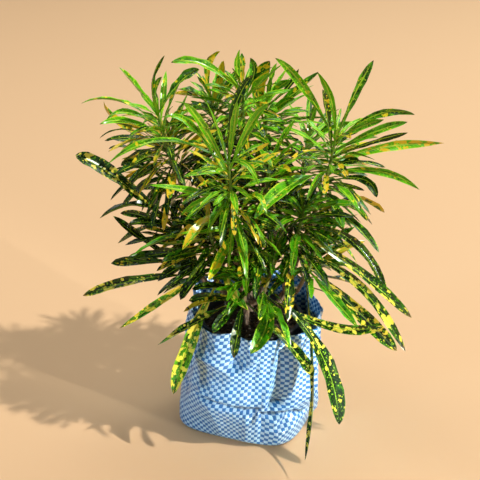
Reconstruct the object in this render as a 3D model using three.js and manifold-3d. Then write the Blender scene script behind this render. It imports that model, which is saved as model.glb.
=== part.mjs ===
// A narrow-leaved croton in a nursery pot, inside a bag sewn from blue and white woven plastic.
//
// Units are millimetres, +Z is up, and the origin is the middle of the bag's floor, on the surface
// that it stands on. -Y is the front of the plant, where the bag's rim is lowest.
//
// The bag is one thin shell with soft folds. The pot stands in it and holds the soil, five woody
// canes stand in holes in the soil, and each cane carries leafy shoots. Each leaf is one arched
// blade with a folded midrib, and it is grown clear of everything that it isn't fused to.

import * as THREE from "three";
import { mergeVertices } from "three/addons/utils/BufferGeometryUtils.js";
import Module from "manifold-3d";

const wasm = await Module();
wasm.setup();

// ---------------------------------------------------------------- driving dimensions

const SEAT_GAP = 0.3; // between two pieces that rest on each other
const DEGREE = Math.PI / 180;
const GOLDEN_TURN = 137.5 * DEGREE; // from each leaf to the next round a stem

const BAG = {
  height: 152.5,
  wall: 1.5,
  // Both plans are rounded rectangles, turned about Z. A squareness of 2 would be an ellipse.
  foot: { halfWidth: 75, halfDepth: 63, squareness: 3.8, turn: -22 * DEGREE },
  body: { halfWidth: 81, halfDepth: 79, squareness: 2.6, turn: 10 * DEGREE },
  bulgesBy: 75, // height at which the wall has the body's full width
  cornerRadius: 9, // where the wall meets the floor
  rimShare: 0.9, // of the body's width, at the rim
  lean: 9, // how far the rim has slumped towards +X
  sides: 40,
  ringShares: [0, 0.015, 0.05, 0.16, 0.28, 0.4, 0.52, 0.66, 0.82, 1],
};

// Soft folds of the wall: where each lies (degrees round from +X, height), how far it is pushed out
// or in, its half lengths along and across itself, and the tilt of its length from the horizontal.
const FOLDS = [
  { angle: -84, height: 108, push: 4.5, long: 42, wide: 7, tilt: 78 },
  { angle: -99, height: 118, push: -3.5, long: 26, wide: 9, tilt: 70 },
  { angle: -68, height: 112, push: -3.5, long: 34, wide: 9, tilt: 82 },
  { angle: -117, height: 128, push: 3, long: 20, wide: 12, tilt: 30 },
  { angle: -62, height: 64, push: -6, long: 17, wide: 11, tilt: 55 },
  { angle: -96, height: 57, push: -5, long: 34, wide: 5.5, tilt: -8 },
  { angle: -98, height: 72, push: 3.5, long: 34, wide: 9, tilt: -8 },
  { angle: -55, height: 38, push: -4.5, long: 28, wide: 5.5, tilt: 24 },
  { angle: -60, height: 24, push: 3, long: 26, wide: 8, tilt: 10 },
  { angle: -35, height: 92, push: 4, long: 60, wide: 9, tilt: 88 },
  { angle: -12, height: 80, push: -4, long: 46, wide: 14, tilt: 84 },
  { angle: 18, height: 58, push: -4.5, long: 34, wide: 7, tilt: 18 },
  { angle: 34, height: 96, push: 3.5, long: 44, wide: 8, tilt: 72 },
  { angle: 62, height: 60, push: -4.5, long: 36, wide: 7, tilt: -14 },
  { angle: 88, height: 108, push: 3.5, long: 36, wide: 8, tilt: 80 },
  { angle: 104, height: 46, push: -4, long: 30, wide: 6, tilt: 12 },
  { angle: 128, height: 90, push: 3.5, long: 48, wide: 9, tilt: 98 },
  { angle: 150, height: 62, push: -4.5, long: 34, wide: 7, tilt: -20 },
  { angle: 172, height: 104, push: 3, long: 38, wide: 10, tilt: 84 },
  { angle: -162, height: 56, push: -4, long: 30, wide: 8, tilt: 26 },
  { angle: -142, height: 96, push: 3, long: 46, wide: 10, tilt: 76 },
];

const POT = {
  centreX: 5,
  height: 138,
  baseRadius: 45,
  topRadius: 58,
  wall: 1.6,
  rimHeight: 7,
  rimProud: 3,
  sides: 26,
  drainRadius: 4,
  drainCircle: 28,
  drains: 4,
};

const SOIL = { edgeHeight: 131, crownHeight: 142, crownRadius: 40 };

const CANE = {
  footRadius: 4.2,
  tipRadius: 3,
  depth: 55, // how far a cane goes down into the soil
  sides: 5,
  rings: 4,
};

// Each cane rises from its foot in the soil to its fork, and on to the shoots that it carries.
const CANES = [
  { name: "cane_left", foot: [-22, 2], fork: [-34, 2, 178] },
  { name: "cane_front", foot: [0, -26], fork: [-4, -32, 170] },
  { name: "cane_right", foot: [36, -4], fork: [44, -8, 172] },
  { name: "cane_middle", foot: [4, 4], fork: [2, 8, 182] },
  { name: "cane_back", foot: [18, 37], fork: [14, 46, 184] },
];

const SHOOT = {
  baseRadius: 2.8,
  tipRadius: 1.5,
  sides: 5,
  rings: 3,
};

// Each shoot: its name, its cane, where it starts at the end of its cane's branch, its growing tip,
// how many leaves it wants, its longest leaf, and how steeply its lowest leaves leave it, in degrees
// from square to its stem.
const SHOOTS = [
  ["shoot_left_top", "cane_left", [-74, -4, 306], [-97, -10, 392], 16, 92, 4],
  ["shoot_left_back", "cane_left", [-56, 30, 234], [-90, 58, 336], 18, 108, 14],
  ["shoot_left_low", "cane_left", [-48, -10, 186], [-76, -26, 264], 18, 98, 26],
  ["shoot_left_front", "cane_front", [-24, -40, 208], [-44, -62, 288], 20, 92, 20],
  ["shoot_front_top", "cane_front", [-12, -52, 268], [-20, -74, 360], 17, 96, 2],
  ["shoot_front_low", "cane_front", [16, -42, 182], [30, -56, 240], 15, 84, 24],
  ["shoot_front_mid", "cane_front", [-3, -48, 174], [-2, -72, 246], 18, 80, 22],
  ["shoot_right_top", "cane_right", [76, -4, 270], [97, -6, 362], 19, 104, 2],
  ["shoot_right_mid", "cane_right", [48, -32, 226], [62, -48, 298], 20, 92, 14],
  ["shoot_right_low", "cane_right", [58, -22, 182], [78, -34, 244], 18, 92, 28],
  ["shoot_middle", "cane_middle", [12, -12, 236], [24, -24, 336], 18, 92, 8],
  ["shoot_middle_low", "cane_middle", [-12, -4, 204], [-20, -12, 274], 16, 86, 22],
  ["shoot_back_left", "cane_back", [-24, 52, 192], [-44, 76, 256], 13, 96, 22],
  ["shoot_top", "cane_middle", [-4, 10, 330], [-5, 10, 412], 14, 84, 8],
  ["shoot_top_left", "cane_middle", [-30, 26, 316], [-40, 38, 394], 14, 90, 6],
  ["shoot_top_right", "cane_back", [20, 46, 300], [22, 56, 384], 14, 92, 6],
  ["shoot_right_back", "cane_back", [46, 54, 226], [72, 76, 336], 17, 108, 10],
  ["shoot_back", "cane_back", [-2, 68, 226], [-14, 100, 328], 17, 108, 10],
  ["shoot_back_low", "cane_back", [28, 58, 192], [38, 84, 246], 12, 96, 22],
].map(([name, cane, from, apex, leaves, long, rise]) => {
  return { name, cane, from, apex, leaves, long, rise };
});

const LEAF = {
  petioleShare: 0.1, // of the leaf's length
  petioleWidth: 2.8,
  ribThickness: 1.5,
  fold: 0.17, // how deep the blade is folded at its midrib, as a share of its width
  widest: 12,
  clearance: 0.8, // kept round every blade
  faces: new THREE.Vector3(0.1, -0.8, 1), // where the named leaves turn their upper side
  shareStations: [0.07, 0.38, 0.86],
  longStations: [0.06, 0.3, 0.58, 0.87],
  longFrom: 125, // leaves at least this long have the finer stations
};

// Leaves that give this plant its outline: the shoot, how far up it the leaf grows (0 to 1), where
// its tip is, how far its middle is bowed towards +X and arched upwards, its width, and how far it
// is rolled about its length, in degrees.
const NAMED_LEAVES = [
  ["shoot_left_low", 0.12, [-187, -26, 176], [-4, 8], 12, 0],
  ["shoot_front_mid", 0.2, [-100, -82, 143], [-2, 2], 11, 20],
  ["shoot_right_low", 0.5, [169, -66, 127], [1, 2], 14, 20],
  ["shoot_front_low", 0.1, [150, -82, 167], [6, -20], 12, 10],
  ["shoot_front_mid", 0.12, [72, -110, 120], [16, -12], 13, 15],
  ["shoot_right_low", 0.3, [64, -104, 13], [9, -15], 9, 60],
  ["shoot_front_low", 0.28, [102, -110, 60], [20, 5], 16, -10],
  ["shoot_right_mid", 0.1, [177, -78, 133], [4, 28], 12, 20],
  ["shoot_front_top", 0.06, [-42, -92, 229], [-2, -4], 11, 0],
  ["shoot_front_top", 0.15, [-74, -92, 285], [5, -4], 9, 10],
  ["shoot_left_top", 0.93, [-136, -20, 445], [-1, 5], 10, 20],
  ["shoot_left_top", 0.98, [-88, -10, 455], [-9, 3], 7, 50],
  ["shoot_left_top", 0.95, [-90, -34, 439], [-5, 7], 6, -50],
  ["shoot_left_top", 0.97, [-52, 8, 434], [1, 11], 11, -20],
  ["shoot_left_top", 0.8, [-177, -30, 408], [-3, 17], 8, 40],
  ["shoot_left_top", 0.72, [-152, -24, 387], [-5, 16], 8, 30],
  ["shoot_left_top", 0.62, [-157, -42, 389], [-3, 12], 9, 0],
  ["shoot_left_top", 0.5, [-161, -12, 362], [-6, 16], 5, 60],
  ["shoot_left_back", 0.85, [-158, 20, 393], [-19, 3], 10, 0],
  ["shoot_top", 0.93, [-82, 0, 444], [-3, 15], 11, 10],
  ["shoot_top_left", 0.97, [-30, 44, 443], [-9, 10], 9, 20],
  ["shoot_top_left", 0.85, [-26, 20, 440], [1, 1], 9, 0],
  ["shoot_top", 0.97, [-8, 8, 456], [-5, 5], 8, 30],
  ["shoot_top", 0.99, [-6, 14, 453], [0, 0], 8, -30],
  ["shoot_top", 0.9, [3, 30, 440], [8, 3], 10, -20],
  ["shoot_top_right", 0.62, [25, 44, 432], [-11, 8], 14, 0],
  ["shoot_top_right", 0.95, [33, 40, 433], [-1, 6], 6, 40],
  ["shoot_top_right", 0.9, [58, 60, 418], [6, 0], 7, 0],
  ["shoot_top_right", 0.8, [79, 42, 420], [2, 0], 11, -10],
  ["shoot_top_right", 0.97, [48, 36, 412], [1, 5], 9, 30],
  ["shoot_top_right", 0.7, [53, 30, 393], [1, 7], 9, 30],
  ["shoot_front_top", 0.6, [-85, -92, 415], [-3, 28], 8, 25],
  ["shoot_front_top", 0.8, [-65, -102, 434], [-4, 15], 9, -25],
  ["shoot_front_top", 0.92, [-44, -92, 436], [0, 6], 6, 30],
  ["shoot_front_top", 0.97, [-11, -100, 435], [1, 6], 8, -30],
  ["shoot_front_top", 0.9, [5, -66, 451], [-8, 11], 10, 0],
  ["shoot_front_top", 0.86, [21, -88, 428], [1, 13], 9, 25],
  ["shoot_front_top", 0.95, [-151, -76, 353], [-4, 29], 9, 20],
  ["shoot_front_top", 0.5, [-103, -96, 342], [-2, 1], 9, 15],
  ["shoot_front_top", 0.96, [11, -116, 349], [3, 12], 6, 20],
  ["shoot_front_top", 0.12, [20, -110, 315], [3, 27], 9, -15],
  ["shoot_left_low", 0.8, [-187, -22, 346], [-11, 21], 15, 0],
  ["shoot_left_low", 0.04, [-148, -30, 277], [-9, 4], 10, 0],
  ["shoot_left_low", 0.92, [-160, -56, 286], [-1, 24], 11, 20],
  ["shoot_left_low", 0.7, [-141, -20, 276], [-3, 12], 9, -30],
  ["shoot_left_low", 0.85, [-129, -60, 280], [-1, 9], 10, 20],
  ["shoot_left_back", 0.55, [-154, 10, 341], [-10, 17], 6, 50],
  ["shoot_left_back", 0.3, [-140, 0, 325], [-11, 21], 9, 10],
  ["shoot_left_front", 0.25, [-142, -76, 161], [1, 1], 9, -20],
  ["shoot_left_front", 0.8, [-124, -78, 252], [-4, 7], 9, 20],
  ["shoot_left_front", 0.7, [-97, -60, 257], [0, -2], 8, 20],
  ["shoot_left_front", 0.5, [-112, -70, 247], [-5, 1], 11, 10],
  ["shoot_left_front", 0.1, [-83, -104, 91], [-8, -7], 18, 0],
  ["shoot_left_front", 0.3, [1, -94, 194], [-4, -3], 12, -10],
  ["shoot_front_mid", 0.6, [-37, -96, 220], [2, -4], 8, 20],
  ["shoot_right_top", 0.92, [136, 8, 444], [1, 9], 10, 35],
  ["shoot_right_top", 0.9, [181, -12, 389], [2, 17], 9, 30],
  ["shoot_right_top", 0.95, [146, -30, 390], [2, 4], 9, 20],
  ["shoot_right_top", 0.8, [171, -32, 388], [5, 6], 10, 20],
  ["shoot_right_top", 0.72, [170, -46, 381], [3, 4], 7, 60],
  ["shoot_right_top", 0.66, [217, 2, 351], [-1, 7], 11, 30],
  ["shoot_right_top", 0.6, [121, -30, 343], [3, 3], 8, 20],
  ["shoot_right_top", 0.52, [187, -40, 313], [6, 12], 9, 30],
  ["shoot_right_top", 0.4, [139, -50, 308], [12, 13], 10, 20],
  ["shoot_right_top", 0.38, [130, -20, 304], [-3, 4], 5, 60],
  ["shoot_right_top", 0.95, [29, -26, 457], [-3, 15], 10, -20],
  ["shoot_right_top", 0.99, [73, -30, 443], [4, 8], 8, -30],
  ["shoot_right_top", 0.75, [78, -46, 429], [1, 5], 10, 0],
  ["shoot_right_top", 0.5, [7, -104, 307], [-2, 14], 14, 20],
  ["shoot_right_top", 0.36, [86, -50, 312], [-8, 4], 7, 0],
  ["shoot_front_low", 0.97, [94, -72, 295], [-13, 18], 7, 65],
  ["shoot_right_mid", 0.6, [158, -40, 182], [9, 26], 12, 30],
  ["shoot_right_mid", 0.5, [182, -60, 167], [-2, 10], 13, 20],
  ["shoot_right_low", 0.45, [122, -84, 167], [0, 1], 11, 20],
  ["shoot_front_low", 0.15, [3, -108, 147], [11, -1], 15, 0],
];

const COLOURS = {
  woven: 0x5f93cf,
  potPlastic: 0x1b1b1c,
  soil: 0x3a281c,
  bark: 0x9a7550,
  freshLeaf: 0x74ab2a,
  oldLeaf: 0x35611f,
};

// ---------------------------------------------------------------- meshes and solids

const vector = (x, y, z) => new THREE.Vector3(x, y, z);

function material(colour, roughness) {
  return new THREE.MeshStandardMaterial({ color: colour, roughness, metalness: 0 });
}

// A closed skin over rings of points, each ring turning anticlockwise as seen from the end.
// swapped(band) gives the bands whose quads are split along their other diagonal.
function skin(rings, start, end, swapped = () => false) {
  const sides = rings[0].length;
  const points = [...rings.flat(), start, end];
  const first = rings.length * sides;
  const last = first + 1;
  const faces = [];
  rings.slice(1).forEach((_, band) => {
    for (let i = 0; i < sides; i++) {
      const j = (i + 1) % sides;
      const [a, b] = [band * sides + i, band * sides + j];
      const [c, d] = [b + sides, a + sides];
      const forward = (i % 2 === 0) !== swapped(band);
      faces.push(...(forward ? [a, b, c, a, c, d] : [a, b, d, b, c, d]));
    }
  });
  const top = (rings.length - 1) * sides;
  for (let i = 0; i < sides; i++) {
    const j = (i + 1) % sides;
    faces.push(first, j, i, top + i, top + j, last);
  }
  const geometry = new THREE.BufferGeometry().setFromPoints(points);
  return geometry.setIndex(faces);
}

function solidOf(geometry) {
  const bare = geometry.clone();
  bare.deleteAttribute("normal");
  bare.deleteAttribute("uv");
  const merged = mergeVertices(bare, 1e-4);
  return new wasm.Manifold(
    new wasm.Mesh({
      numProp: 3,
      vertProperties: new Float32Array(merged.attributes.position.array),
      triVerts: new Uint32Array(merged.index.array),
    }),
  );
}

function meshOf(solid, name, finish) {
  const { vertProperties, triVerts } = solid.getMesh();
  const geometry = new THREE.BufferGeometry();
  geometry.setAttribute("position", new THREE.BufferAttribute(vertProperties, 3));
  geometry.setIndex(new THREE.BufferAttribute(triVerts, 1));
  geometry.computeVertexNormals();
  const mesh = new THREE.Mesh(geometry, finish);
  mesh.name = name;
  return mesh;
}

const joined = (solids) => solids.reduce((whole, piece) => whole.add(piece));

// A quadratic curve, its direction, and the two directions across it.
function curve(start, bend, end) {
  return new THREE.QuadraticBezierCurve3(start, bend, end);
}

function across(direction, reference) {
  const along = reference.clone().addScaledVector(direction, -reference.dot(direction));
  return along.normalize();
}

// A tapered round stem along a curve.
function stemSolid(path, startRadius, endRadius, rings, sides) {
  const east = vector(1, 0, 0);
  const loops = [];
  for (let k = 0; k < rings; k++) {
    const t = k / (rings - 1);
    const u = across(path.getTangent(t), east);
    const v = path.getTangent(t).cross(u);
    const radius = startRadius + (endRadius - startRadius) * t;
    const loop = [];
    for (let i = 0; i < sides; i++) {
      const a = (i / sides) * 2 * Math.PI;
      const offset = u.clone().multiplyScalar(radius * Math.cos(a));
      loop.push(path.getPoint(t).add(offset.addScaledVector(v, radius * Math.sin(a))));
    }
    loops.push(loop);
  }
  return solidOf(skin(loops, path.getPoint(0), path.getPoint(1)));
}

// ---------------------------------------------------------------- bag

// The rim's height: low in front, high at the back and left, with a slight ripple.
function rimHeight(angle) {
  const slump = 7 * Math.sin(angle) - 1.5 * Math.cos(angle) + 6 * Math.max(0, Math.sin(angle)) ** 2;
  return BAG.height + slump + 1.6 * Math.sin(3 * angle + 1) + 0.9 * Math.sin(5 * angle);
}

function planRadius(plan, angle) {
  const x = Math.abs(Math.cos(angle - plan.turn) / plan.halfWidth);
  const y = Math.abs(Math.sin(angle - plan.turn) / plan.halfDepth);
  return (x ** plan.squareness + y ** plan.squareness) ** (-1 / plan.squareness);
}

const eased = (t) => t * t * (3 - 2 * t);

const clamped = (t) => Math.min(1, Math.max(0, t));

// The wall without its folds: it goes from the foot's plan to the body's, then narrows to the rim.
function bareRadius(angle, z) {
  const up = eased(clamped(z / BAG.bulgesBy));
  const plan = THREE.MathUtils.lerp(planRadius(BAG.foot, angle), planRadius(BAG.body, angle), up);
  const narrow = eased(clamped((z - BAG.bulgesBy / 2) / (BAG.height - BAG.bulgesBy / 2)));
  const short = clamped(1 - z / BAG.cornerRadius);
  const corner = BAG.cornerRadius * (1 - Math.sqrt(1 - short * short));
  return plan * (1 - (1 - BAG.rimShare) * narrow) - corner;
}

function foldPush(angle, z) {
  let push = 0;
  for (const fold of FOLDS) {
    let turn = angle - fold.angle * DEGREE;
    turn -= 2 * Math.PI * Math.round(turn / (2 * Math.PI));
    const [around, up] = [turn * BAG.body.halfWidth, z - fold.height];
    const [c, s] = [Math.cos(fold.tilt * DEGREE), Math.sin(fold.tilt * DEGREE)];
    const along = (around * c + up * s) / fold.long;
    const beside = (up * c - around * s) / fold.wide;
    push += fold.push * Math.exp(-along * along - beside * beside);
  }
  return push * clamped(z / BAG.cornerRadius);
}

const leanAt = (z) => (BAG.lean * z) / BAG.height;

const wallRadius = (angle, z) => bareRadius(angle, z) + foldPush(angle, z);

function wallRing(share, inset, floor) {
  const ring = [];
  for (let i = 0; i < BAG.sides; i++) {
    const angle = (i / BAG.sides) * 2 * Math.PI;
    const z = Math.max(floor, share * rimHeight(angle));
    const radius = wallRadius(angle, z) - inset;
    ring.push(vector(leanAt(z) + radius * Math.cos(angle), radius * Math.sin(angle), z));
  }
  return ring;
}

function bag() {
  const outside = BAG.ringShares.map((share) => wallRing(share, 0, 0));
  const inside = BAG.ringShares.map((share) => wallRing(share, BAG.wall, BAG.wall)).reverse();
  const isInner = (band) => band >= outside.length;
  const shell = skin([...outside, ...inside], vector(0, 0, 0), vector(0, 0, BAG.wall), isInner);
  return meshOf(solidOf(shell), "woven_bag", material(COLOURS.woven, 0.4));
}

// ---------------------------------------------------------------- pot and soil

const potFloor = BAG.wall + SEAT_GAP;

function lathed(profile, sides) {
  const points = profile.map(([r, z]) => new THREE.Vector2(r, z));
  const geometry = new THREE.LatheGeometry(points, sides);
  geometry.rotateX(Math.PI / 2);
  return geometry.translate(POT.centreX, 0, 0);
}

function upright(radius, bottom, top, x, y, sides) {
  const geometry = new THREE.CylinderGeometry(radius, radius, top - bottom, sides);
  geometry.rotateX(Math.PI / 2);
  return solidOf(geometry.translate(x, y, (top + bottom) / 2));
}

function nurseryPot() {
  const { baseRadius, topRadius, wall, rimHeight: rim, rimProud } = POT;
  const [foot, lip] = [potFloor, POT.height];
  const underRim = topRadius - ((topRadius - baseRadius) * rim) / (lip - foot);
  let solid = solidOf(
    lathed(
      [
        [0, foot],
        [baseRadius, foot],
        [underRim, lip - rim],
        [topRadius + rimProud, lip - rim],
        [topRadius + rimProud, lip],
        [topRadius - wall, lip],
        [baseRadius - wall, foot + wall],
        [0, foot + wall],
      ],
      POT.sides,
    ),
  );
  for (let k = 0; k < POT.drains; k++) {
    const a = ((k + 0.5) / POT.drains) * 2 * Math.PI;
    const [x, y] = [POT.centreX + POT.drainCircle * Math.cos(a), POT.drainCircle * Math.sin(a)];
    solid = solid.subtract(upright(POT.drainRadius, foot - 5, foot + 5, x, y, 8));
  }
  return meshOf(solid, "nursery_pot", material(COLOURS.potPlastic, 0.45));
}

// The inside radius of the pot at a height.
function potInside(z) {
  const { baseRadius, topRadius, wall } = POT;
  const foot = potFloor + wall;
  const share = (z - foot) / (POT.height - foot);
  return baseRadius + (topRadius - baseRadius) * share - wall;
}

function soil() {
  const foot = potFloor + POT.wall + SEAT_GAP;
  const { edgeHeight, crownHeight, crownRadius } = SOIL;
  const gap = 2 * SEAT_GAP;
  let solid = solidOf(
    lathed(
      [
        [0, foot],
        [potInside(foot) - gap, foot],
        [potInside(edgeHeight) - gap, edgeHeight],
        [crownRadius, crownHeight - 3],
        [crownRadius / 2, crownHeight],
        [0, crownHeight],
      ],
      POT.sides,
    ),
  );
  for (const cane of CANES) {
    const bottom = caneFoot(cane).z - SEAT_GAP;
    const radius = CANE.footRadius + SEAT_GAP + 0.3;
    solid = solid.subtract(upright(radius, bottom, crownHeight + 20, ...cane.foot, 8));
  }
  return meshOf(solid, "soil", material(COLOURS.soil, 0.95));
}

// ---------------------------------------------------------------- canes

const caneFoot = (cane) => vector(...cane.foot, SOIL.crownHeight - CANE.depth);

// A cane's trunk goes straight up out of the soil, and leans over to its fork above it.
function trunkPath(cane) {
  const collar = vector(...cane.foot, SOIL.crownHeight + 4);
  return [collar, curve(collar, vector(...cane.foot, (collar.z + cane.fork[2]) / 2), vector(...cane.fork))];
}

// A branch ends in the direction that its shoot grows on in.
function branchPath(cane, shoot) {
  const fork = vector(...cane.fork);
  const end = vector(...shoot.from);
  const back = -0.45 * fork.distanceTo(end);
  return curve(fork, end.clone().addScaledVector(shootPath(shoot).getTangent(0), back), end);
}

function cane(spec) {
  const { footRadius, tipRadius, rings, sides } = CANE;
  const [collar, trunk] = trunkPath(spec);
  const below = curve(caneFoot(spec), caneFoot(spec).lerp(collar, 0.5), collar);
  const root = stemSolid(below, footRadius * 0.9, footRadius, 2, sides);
  const stem = stemSolid(trunk, footRadius, (footRadius + tipRadius) / 2, rings, sides);
  const branches = SHOOTS.filter((shoot) => shoot.cane === spec.name).map((shoot) =>
    stemSolid(branchPath(spec, shoot), (footRadius + tipRadius) / 2, tipRadius, rings, sides),
  );
  return meshOf(joined([root, stem, ...branches]), spec.name, material(COLOURS.bark, 0.8));
}

// ---------------------------------------------------------------- growing room

// A box round some points, turned to lie along three directions.
function boxAround(points, axes, room) {
  const centre = vector(0, 0, 0);
  const half = [];
  for (const axis of axes) {
    const reach = points.map((p) => p.dot(axis));
    const [low, high] = [Math.min(...reach), Math.max(...reach)];
    centre.addScaledVector(axis, (low + high) / 2);
    half.push((high - low) / 2 + room);
  }
  return { centre, axes, half, radius: Math.hypot(...half) };
}

// True if two turned boxes meet: no face normal or cross product of edges separates them.
function boxesMeet(a, b) {
  const apart = b.centre.clone().sub(a.centre);
  if (apart.length() > a.radius + b.radius) return false;
  const reach = (box, axis) =>
    box.axes.reduce((sum, edge, i) => sum + box.half[i] * Math.abs(edge.dot(axis)), 0);
  const parted = (axis) => Math.abs(apart.dot(axis)) > reach(a, axis) + reach(b, axis);
  if (a.axes.some(parted) || b.axes.some(parted)) return false;
  for (const edge of a.axes)
    for (const other of b.axes) {
      const axis = edge.clone().cross(other);
      if (axis.lengthSq() > 1e-6 && parted(axis)) return false;
    }
  return true;
}

// The boxes along a round stem, which leaves of other stems keep clear of.
function stemBoxes(path, radius, steps) {
  const boxes = [];
  for (let k = 0; k < steps; k++) {
    const [a, b] = [path.getPoint(k / steps), path.getPoint((k + 1) / steps)];
    const along = b.clone().sub(a).normalize();
    const u = across(along, vector(1, 0, 0));
    const box = boxAround([a, b], [along, u, along.clone().cross(u)], 0);
    box.half = [box.half[0], radius, radius];
    box.radius = Math.hypot(...box.half);
    boxes.push(box);
  }
  return boxes;
}

// True if a point keeps clear of the bag's wall, the soil and the surface that the bag stands on.
function isClearOfBag(p) {
  const margin = 3.5;
  if (p.z < 8) return false;
  const x = p.x - leanAt(p.z);
  const angle = Math.atan2(p.y, x);
  if (p.z > rimHeight(angle) + margin) return true;
  const radius = Math.hypot(x, p.y);
  const wall = wallRadius(angle, p.z);
  if (radius > wall + margin) return true;
  return radius < wall - BAG.wall - margin && p.z > SOIL.crownHeight + 6;
}

// ---------------------------------------------------------------- leaves

// A repeatable random number from 0 to 1.
function randomSource(seed) {
  let state = seed;
  return () => {
    state = (state * 48271) % 2147483647;
    return state / 2147483647;
  };
}

const shootPath = (shoot) => {
  const [from, apex] = [vector(...shoot.from), vector(...shoot.apex)];
  const bend = from.clone().lerp(apex, 0.5);
  bend.x += (apex.x - from.x) * 0.2;
  bend.y += (apex.y - from.y) * 0.2;
  return curve(from, bend, apex);
};

// How wide a blade is at a share of its length: a narrow petiole, then a long strap with a blunt tip.
function bladeWidth(share, width) {
  if (share <= LEAF.petioleShare) return LEAF.petioleWidth;
  const u = (share - LEAF.petioleShare) / (1 - LEAF.petioleShare);
  const strap = (u ** 0.55 * (1 - u ** 3.5) ** 0.75) / 0.655;
  return Math.max(LEAF.petioleWidth, width * strap);
}

// The blade's section at a share of its length: left edge, rib above, right edge, rib below.
function bladeRing(leaf, share) {
  const tangent = leaf.path.getTangent(share);
  const side = across(tangent, leaf.side).applyAxisAngle(tangent, leaf.roll + leaf.twist * share);
  const up = side.clone().cross(tangent);
  const width = bladeWidth(share, leaf.width);
  const deep = LEAF.fold * Math.max(0, width - LEAF.petioleWidth);
  const centre = leaf.path.getPoint(share);
  const at = (x, z) => centre.clone().addScaledVector(side, x).addScaledVector(up, z);
  const [half, thick] = [width / 2, LEAF.ribThickness / 2];
  return [at(-half, deep / 2), at(0, thick - deep / 2), at(half, deep / 2), at(0, -thick - deep / 2)];
}

function leafRings(leaf) {
  const stations = leaf.path.getLength() > LEAF.longFrom ? LEAF.longStations : LEAF.shareStations;
  return stations.map((share) => bladeRing(leaf, share));
}

function leafBoxes(leaf, rings) {
  const loops = [[leaf.path.getPoint(0)], ...rings, [leaf.path.getPoint(1)]];
  return loops.slice(1).map((loop, k) => {
    const points = [...loops[k], ...loop];
    const [a, b] = [middle(loops[k]), middle(loop)];
    const along = b.sub(a).normalize();
    const wide = loop.length > 1 ? loop : loops[k];
    const side = across(along, wide[2].clone().sub(wide[0]));
    return boxAround(points, [along, side, along.clone().cross(side)], LEAF.clearance);
  });
}

function middle(points) {
  const sum = points.reduce((total, p) => total.add(p), vector(0, 0, 0));
  return sum.multiplyScalar(1 / points.length);
}

function isLeafClearOfBag(rings, tip) {
  const loops = [...rings, [tip]];
  const step = 5;
  return loops.slice(1).every((loop, k) => {
    const from = loops[k];
    const count = Math.ceil(middle(from).distanceTo(middle(loop)) / step);
    return from.every((p, i) => {
      const q = loop[i % loop.length];
      for (let n = 0; n <= count; n++) {
        if (!isClearOfBag(p.clone().lerp(q, n / count))) return false;
      }
      return true;
    });
  });
}

// Places the leaf if nothing is in its way. Leaves of one shoot may meet near their roots only.
function takesRoom(leaf, taken) {
  const rings = leafRings(leaf);
  if (!isLeafClearOfBag(rings, leaf.path.getPoint(1))) return false;
  const boxes = leafBoxes(leaf, rings);
  const isBlocked = boxes.some((box, k) =>
    taken.some((other) => {
      const isCrown = other.owner === leaf.shoot && k < 2 && other.isNearRoot;
      return !isCrown && boxesMeet(box, other.box);
    }),
  );
  if (isBlocked) return false;
  boxes.forEach((box, k) => taken.push({ box, owner: leaf.shoot, isNearRoot: k < 2 }));
  return true;
}

// A leaf by its tip and arch, as in the list of named leaves. Where others are in its way, its tip
// is shifted back and down, or forward and up.
function namedLeaf([shoot, share, tip, [bow, arch], width, roll], shift) {
  const root = shootPath(SHOOTS.find((s) => s.name === shoot)).getPoint(share);
  const end = vector(tip[0], tip[1] + 0.9 * shift, tip[2] - 0.42 * shift);
  const bend = root.clone().lerp(end, 0.48).add(vector(2 * bow, 0, 2 * arch));
  const chord = end.clone().sub(root);
  const side = chord.clone().cross(LEAF.faces).normalize();
  return { shoot, path: curve(root, bend, end), side, width, roll: roll * DEGREE, twist: 0 };
}

// A leaf by rule: low ones are long and hang over, high ones are short and stand up.
function grownLeaf(shoot, share, turn, shorter, draw) {
  const path = shootPath(shoot);
  const root = path.getPoint(share);
  const axis = path.getTangent(share);
  const u = across(axis, vector(1, 0, 0));
  const v = axis.clone().cross(u);
  const radial = u.clone().multiplyScalar(Math.cos(turn)).addScaledVector(v, Math.sin(turn));
  const rise = (shoot.rise + (60 - shoot.rise) * share + 24 * (draw() - 0.5)) * DEGREE;
  const length = shoot.long * (1 - 0.45 * share) * (0.8 + 0.35 * draw()) * (1 - shorter);
  const droop = (1.1 - 0.6 * share) * (0.5 + draw());
  const out = radial.clone().multiplyScalar(Math.cos(rise)).addScaledVector(axis, Math.sin(rise));
  const over = out.clone().add(vector(0, 0, -droop)).normalize();
  const bend = root.clone().addScaledVector(out, length * 0.52);
  const tip = bend.clone().addScaledVector(over, length * 0.52);
  return {
    shoot: shoot.name,
    path: curve(root, bend, tip),
    side: axis.clone().cross(radial).negate().normalize(),
    width: LEAF.widest * (1 - 0.3 * share) * (0.75 + 0.4 * draw()),
    roll: 0.7 * (draw() - 0.5),
    twist: 1.1 * (draw() - 0.5),
  };
}

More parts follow.
